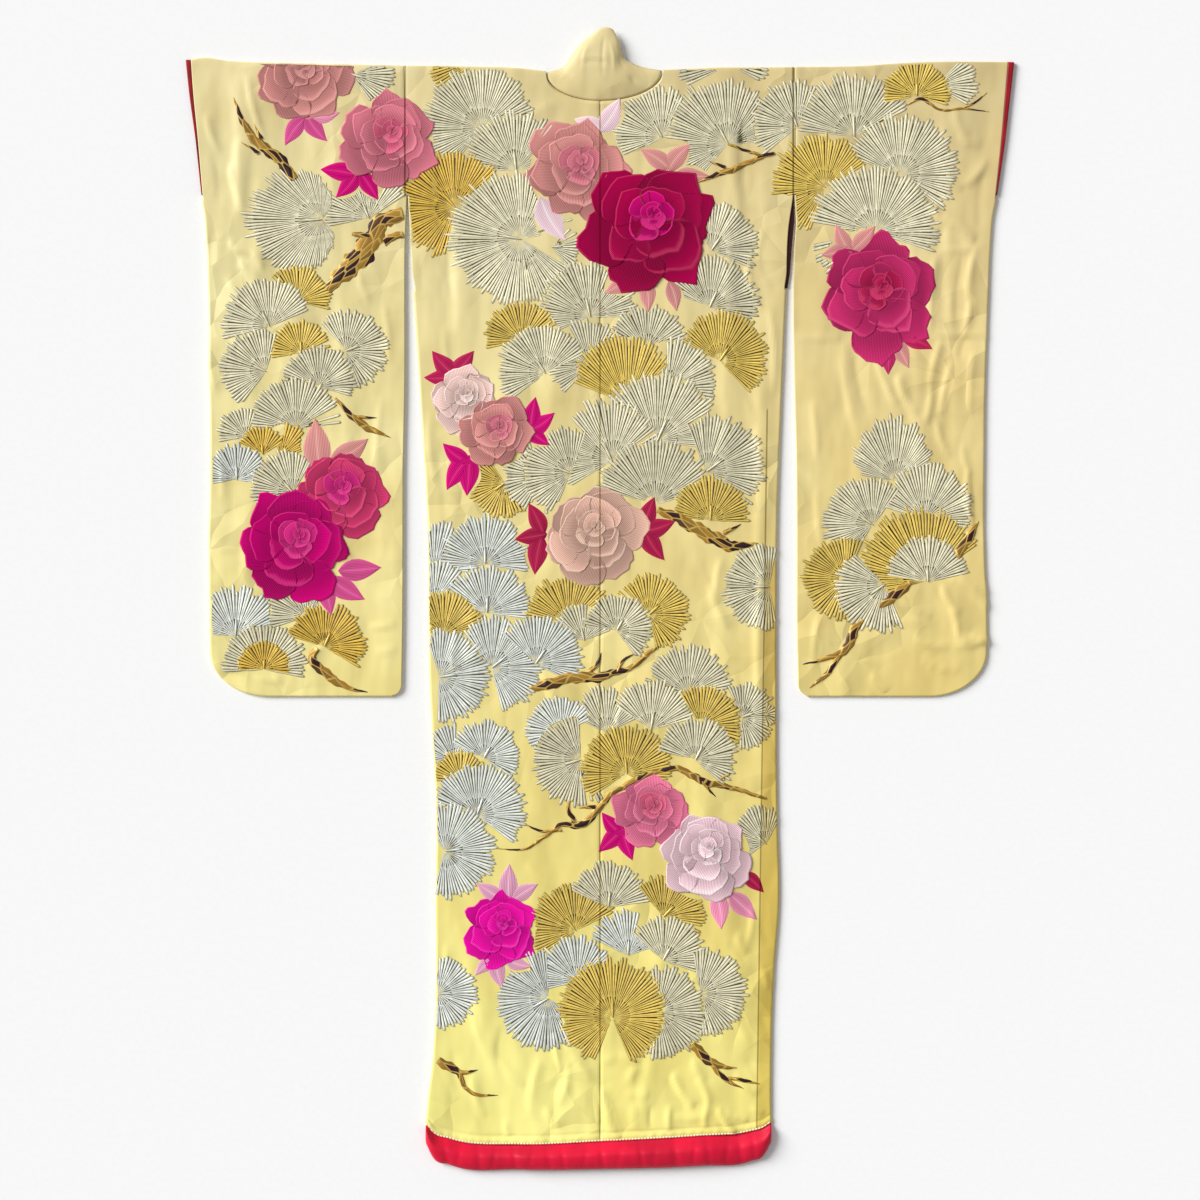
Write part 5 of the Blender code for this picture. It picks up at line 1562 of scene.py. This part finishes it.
def metal_thread(name, dark, light, shine):
    """Gilt or silvered paper foil wound on a silk core, couched down in pairs.

    The colour is painted light along the middle of each cord as a painted highlight, and dark
    at its sides as painted shade in the groove between two cords, so the fan reads as fine bright
    lines.
    """
    material, tree = new_finish(name, Metallic=0.20, Roughness=shine, Specular_IOR_Level=0.35)
    uv = add_node(tree, "UVMap", uv_map="UVMap")
    across, along = (add_node(tree, "SeparateXYZ", {0: uv}, axis) for axis in "XY")
    centred = add_node(tree, "Math", {0: across, 1: 0.5}, operation="PINGPONG")
    from_foot = add_node(tree, "Math", {0: 0.30, 1: along}, operation="SUBTRACT")
    softened = add_node(tree, "Math", {0: centred, 1: from_foot}, operation="MAXIMUM")
    # Painted highlight along the middle of each cord, painted shade in the grooves at its sides.
    highlight_and_groove_shade = add_node(
        tree, "ValToRGB", {"Fac": softened}, stops=((0.09, dark), (0.20, light), (0.5, light)),
    )
    tips = add_node(tree, "ValToRGB", {"Fac": along}, stops=[
        (stop, (value,) * 3) for stop, value in NEEDLE_SHADES
    ])
    place = add_node(tree, "TexCoord", out="Object")
    worn = add_node(
        tree, "TexNoise", {"Vector": place, "Scale": 1.0 / (9.0 * MM), "Detail": 2.0}, "Fac",
    )
    tarnish = add_node(
        tree, "ValToRGB", {"Fac": worn}, stops=((0.35, (0.82,) * 3), (0.65, WHITE)),
    )
    colour = highlight_and_groove_shade
    for layer in (tips, tarnish):
        colour = add_node(tree, "Mix", {"Factor": 1.0, "A": colour, "B": layer}, **MULTIPLY)
    return finished(material, dyed_thread(tree, colour))


def satin_stitch(name="silk floss, satin stitched"):
    """Untwisted dyed silk laid side by side: it shines along each stitch.

    The stitch lines are drawn at 2.6 mm, because the real 0.4 mm would not show.
    """
    material, tree = new_finish(name, Roughness=0.60, Specular_IOR_Level=0.06)
    uv = add_node(tree, "UVMap", uv_map="UVMap")
    rows = add_node(tree, "TexWave", {
        "Vector": uv, "Scale": WAVE / STITCH_ROW, "Distortion": 1.5, "Detail": 2.0,
        "Detail Scale": 0.6,
    }, "Fac", wave_type="BANDS", bands_direction="X")
    shade = add_node(tree, "ValToRGB", {"Fac": rows}, stops=((0.0, (0.74,) * 3), (0.55, WHITE)))
    bump = add_node(tree, "Bump", {"Height": rows, "Strength": 0.5, "Distance": 0.6 * MM})
    return finished(material, dyed_thread(tree, shade), bump)


def bough_cord(gilt_colour, name="gilt and brown cord, couched over padding"):
    """Gilt cords with brown outlines and dark lens-shaped knots, shining a little."""
    material, tree = new_finish(name, Metallic=0.30, Roughness=0.50)
    uv = add_node(tree, "UVMap", uv_map="UVMap")
    stretched = add_node(tree, "Mapping", {"Vector": uv, "Scale": (1.0, 0.34, 1.0)})
    cells = {"Vector": stretched, "Scale": 0.13}
    outline = add_node(tree, "TexVoronoi", cells, "Distance", **EDGES)
    chosen = add_node(tree, "TexVoronoi", cells, "Color", feature="F1", voronoi_dimensions="2D")
    lot = add_node(tree, "SeparateColor", {"Color": chosen}, "Red")
    inside = add_node(tree, "ValToRGB", {"Fac": lot}, stops=[
        (stop, linear(code)) for stop, code in BOUGH_DYES
    ])
    gilt = add_node(tree, "ValToRGB", {"Fac": outline}, stops=((0.05, WHITE), (0.12, (0.0,) * 3)))
    cords = {"Factor": gilt, "A": inside, "B": (*gilt_colour, 1.0)}
    colour = add_node(tree, "Mix", cords, data_type="RGBA")
    bump = add_node(tree, "Bump", {"Height": outline, "Strength": 0.6, "Distance": 0.8 * MM})
    return finished(material, colour, bump)


# ---- Operators


def colour_setting(name, description, code):
    """Colour property of a settings group."""
    return bpy.props.FloatVectorProperty(
        name=name, description=description, default=linear(code), min=0.0, max=1.0,
        size=3, subtype="COLOR",
    )


def number_setting(name, description, default, least, most, **kind):
    """Number property of a settings group: a length in metres unless it says otherwise."""
    return bpy.props.FloatProperty(
        name=name, description=description, default=default, min=least, max=most,
        **(kind or {"unit": "LENGTH", "precision": 4}),
    )


class UchikakeCloth(bpy.types.PropertyGroup):
    """Colours of the silk and its linings."""

    silk_tint: colour_setting("Silk tint", "Tint laid over the silk's own dyes", "#FFFFFF")
    hem_dark: colour_setting("Hem dark", "Darker red of the padded hem", "#C60630")
    hem_light: colour_setting("Hem light", "Lighter red of the padded hem", "#E40A38")
    # Cuff reds: the lining's red painted darker, as painted shade on the rolled cuff edge.
    cuff_shaded_dark: colour_setting("Cuff dark", "Darker red of the sleeve lining", "#6E060C")
    cuff_shaded_light: colour_setting("Cuff light", "Lighter red of the sleeve lining", "#A00E1C")
    # Side reds: the lining's red painted near black, as painted shadow inside the side opening.
    side_shadow_dark: colour_setting("Side dark", "Darker maroon in the side opening", "#2A0408")
    side_shadow_light: colour_setting("Side light", "Lighter maroon in the side opening", "#3C0A10")


class UchikakeWork(bpy.types.PropertyGroup):
    """Sizes and colours of the embroidery."""

    needle_pitch: number_setting(
        "Needle pitch", "From needle to needle at a fan's rim", 6.4 * MM, 3.0 * MM, 20.0 * MM)
    needle_half: number_setting(
        "Needle half width", "Half the width of a needle", 2.6 * MM, 0.5 * MM, 8.0 * MM)
    needle_rise: number_setting(
        "Needle rise", "Height of a needle over the silk", 1.3 * MM, 0.2 * MM, 3.0 * MM)
    # Painted shade for the grooves and painted highlight for the crests of the metal threads.
    silver_groove_shade: colour_setting("Silver dark", "Silver thread in its grooves", "#5C5832")
    silver_crest_highlight: colour_setting("Silver light", "Silver thread on its crests", "#FFFFFA")
    gold_groove_shade: colour_setting("Gold dark", "Gold thread in its grooves", "#402802")
    gold_crest_highlight: colour_setting("Gold light", "Gold thread on its crests", "#FFE880")
    gilt: colour_setting("Gilt cord", "Gilt outlines of the boughs", "#CCA850")


class UchikakeStage(bpy.types.PropertyGroup):
    """Floor, lights and camera."""

    camera_height: number_setting(
        "Camera height", "Height of the lens over the floor", 4.6, 2.0, 12.0)
    view_width: number_setting(
        "View width", "Width that the camera takes in at the garment", 1.944, 1.5, 4.0)
    window_strength: number_setting(
        "Window strength", "Light that the window sheds", 4.1, 0.0, 20.0, subtype="FACTOR")
    window_size: number_setting(
        "Window size", "Angle that the window fills, which softens its shadows",
        math.radians(34.0), 0.0, math.pi, subtype="ANGLE")
    room_strength: number_setting(
        "Room strength", "Even light from the white room", 0.37, 0.0, 5.0, subtype="FACTOR")


class UCHIKAKE_OT_silk(bpy.types.Operator):
    """Make the silk panels, sleeves and collar"""

    bl_idname = "uchikake.silk"
    bl_label = "Silk panels"

    def execute(self, context):
        cloth = context.scene.uchikake_cloth
        satin = silk_satin(cloth.silk_tint)
        # Cuff lining: red with painted shade.
        red = lining_silk(
            "silk lining, plain woven red, in painted shade", cloth.cuff_shaded_dark, cloth.cuff_shaded_light,
        )
        hem_piping(piping_silk())
        for side in ("left", "right"):
            piece, (back, front), levels = body_panel(side, satin)
            declare_laid(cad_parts[f"overlap_{side}"], satin)
            area = float(np.trapz(back, levels) + np.trapz(front, levels))
            sleeve_piece = sleeve(side, satin)
            cuff = cuff_edge(side, red)
            inner, outer = sleeve_edges_x(side, sleeve_levels())
        collar_piece = collar(satin)
        run = 2.0 * (NECK_ENDS["left"][1] - COLLAR_FOOT_LEVEL)
        area = run * (COLLAR_FRONT_WIDTH + COLLAR_FOOT_WIDTH) / 2 + NECK_ROUND * COLLAR_FRONT_WIDTH
        return {"FINISHED"}


class UCHIKAKE_OT_lining(bpy.types.Operator):
    """Make the red hem rolls and finish the lining that shows"""

    bl_idname = "uchikake.lining"
    bl_label = "Red lining and padded hem"

    def execute(self, context):
        cloth = context.scene.uchikake_cloth
        red = lining_silk(
            "silk lining, plain woven and dyed red", cloth.hem_dark, cloth.hem_light,
        )
        # Side opening lining: red painted dark as painted shadow.
        maroon = lining_silk(
            "silk lining, plain woven red, in painted shadow", cloth.side_shadow_dark, cloth.side_shadow_light,
        )
        left_end, right_end = HEM["x"][0], HEM["x"][-1]
        hem_roll("left", (left_end, FRONT_EDGE["left"]), FRONT_ROLL, red)
        hem_roll("right", (FRONT_EDGE["right"], right_end), FRONT_ROLL, red)
        hem_roll("back", (left_end, right_end), BACK_ROLL, red)
        declare_laid(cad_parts["side_lining"], maroon)
        return {"FINISHED"}


class UCHIKAKE_OT_fans(bpy.types.Operator):
    """Lay the pine-needle fans in silver and gold thread"""

    bl_idname = "uchikake.fans"
    bl_label = "Pine-needle fans"

    def execute(self, context):
        work = context.scene.uchikake_work
        for name, threads, material in (
            ("silver_pine_fans", ("silver", "cool"), metal_thread(
                "silver foil thread, couched", work.silver_groove_shade, work.silver_crest_highlight, 0.46)),
            ("gold_pine_fans", ("gold", "copper"), metal_thread(
                "gold foil thread, couched", work.gold_groove_shade, work.gold_crest_highlight, 0.42)),
        ):
            rng = np.random.default_rng(SEED + len(name))
            grids = []
            for index, fan in enumerate(FANS):
                if fan[-1] in threads:
                    grids += fan_needles(index, rng, work) + fan_stem(index)
            relief(name, [grid for grid in grids if grid[0].size], material)
        return {"FINISHED"}


class UCHIKAKE_OT_flowers(bpy.types.Operator):
    """Sew the blooms and their leaves in satin stitch"""

    bl_idname = "uchikake.flowers"
    bl_label = "Blooms and leaves"

    def execute(self, context):
        floss = satin_stitch()
        rng = np.random.default_rng(SEED)
        relief("leaves", [leaf_grid(leaf, rng) for leaf in LEAVES], floss)
        petals = [grid for bloom in BLOOMS for grid in petal_grids(bloom, rng)]
        relief("blooms", petals, floss)
        return {"FINISHED"}


class UCHIKAKE_OT_boughs(bpy.types.Operator):
    """Couch the pine boughs and twigs"""

    bl_idname = "uchikake.boughs"
    bl_label = "Pine boughs"

    def execute(self, context):
        rng = np.random.default_rng(SEED)
        grids = [bough_grid(path, rng) for path in BOUGHS]
        cord = bough_cord(context.scene.uchikake_work.gilt)
        relief("pine_boughs", [grid for grid in grids if grid], cord)
        return {"FINISHED"}


class UCHIKAKE_OT_stage(bpy.types.Operator):
    """Make the floor, the lights and the camera"""

    bl_idname = "uchikake.stage"
    bl_label = "Floor, lights and camera"

    def execute(self, context):
        scene = context.scene
        settings = scene.uchikake_stage
        floor_mesh = bpy.data.meshes.new("floor")
        corners = ((-1.0, -1.0), (1.0, -1.0), (1.0, 1.0), (-1.0, 1.0))
        floor_mesh.from_pydata(
            [(x * FLOOR_REACH, y * FLOOR_REACH, FLOOR_LEVEL) for x, y in corners], [],
            [(0, 1, 2, 3)],
        )
        paper, tree = new_finish("seamless paper, matt", Roughness=0.95)
        place = add_node(tree, "TexCoord", out="Object")
        fibre = add_node(
            tree, "TexNoise", {"Vector": place, "Scale": 1.0 / (8.0 * MM), "Detail": 2.0}, "Fac",
        )
        tone = add_node(
            tree, "ValToRGB", {"Fac": fibre},
            stops=((0.3, linear("#F3F3F3")), (0.7, linear("#F5F5F5"))),
        )
        floor_mesh.materials.append(finished(paper, tone))

        world = bpy.data.worlds.new("studio")
        world.use_nodes = True
        background = world.node_tree.nodes["Background"].inputs
        background["Color"].default_value = (*WHITE, 1.0)
        background["Strength"].default_value = settings.room_strength
        scene.world = world
        scene.view_settings.view_transform = "Standard"

        window = bpy.data.lights.new("window", "SUN")
        window.angle, window.energy = settings.window_size, settings.window_strength
        lens = bpy.data.cameras.new("camera")
        lens.lens = lens.sensor_width * settings.camera_height / settings.view_width
        lens.clip_end = CAMERA_END
        floor, lamp, camera = (
            bpy.data.objects.new(data.name, data) for data in (floor_mesh, window, lens)
        )
        lamp.rotation_euler = WINDOW_TURN
        camera.location = (*CAMERA_PLACE, settings.camera_height)
        for thing in (floor, lamp, camera):
            scene.collection.objects.link(thing)
        scene.camera = camera
        return {"FINISHED"}


class UCHIKAKE_PT_panel(bpy.types.Panel):
    """Buttons for each group of pieces"""

    bl_idname = "UCHIKAKE_PT_panel"
    bl_label = "Uchikake"
    bl_space_type = "VIEW_3D"
    bl_region_type = "UI"
    bl_category = "Uchikake"

    def draw(self, context):
        scene = context.scene
        for settings in (scene.uchikake_cloth, scene.uchikake_work, scene.uchikake_stage):
            for name in settings.__annotations__:
                self.layout.prop(settings, name)
        for operator in OPERATORS:
            self.layout.operator(operator.bl_idname)


OPERATORS = (
    UCHIKAKE_OT_silk, UCHIKAKE_OT_lining, UCHIKAKE_OT_fans, UCHIKAKE_OT_flowers,
    UCHIKAKE_OT_boughs, UCHIKAKE_OT_stage,
)
GROUPS = (UchikakeCloth, UchikakeWork, UchikakeStage)


def register():
    """Register the classes and hang the settings on the scene."""
    for kind in (*GROUPS, *OPERATORS, UCHIKAKE_PT_panel):
        bpy.utils.register_class(kind)
    bpy.types.Scene.uchikake_cloth = bpy.props.PointerProperty(type=UchikakeCloth)
    bpy.types.Scene.uchikake_work = bpy.props.PointerProperty(type=UchikakeWork)
    bpy.types.Scene.uchikake_stage = bpy.props.PointerProperty(type=UchikakeStage)


def unregister():
    """Undo register."""
    del bpy.types.Scene.uchikake_stage
    del bpy.types.Scene.uchikake_work
    del bpy.types.Scene.uchikake_cloth
    for kind in reversed((*GROUPS, *OPERATORS, UCHIKAKE_PT_panel)):
        bpy.utils.unregister_class(kind)


def main():
    """Make every piece in order."""
    register()
    bpy.ops.uchikake.silk()
    bpy.ops.uchikake.lining()
    bpy.ops.uchikake.fans()
    bpy.ops.uchikake.flowers()
    bpy.ops.uchikake.boughs()
    bpy.ops.uchikake.stage()


if __name__ == "__main__":
    main()
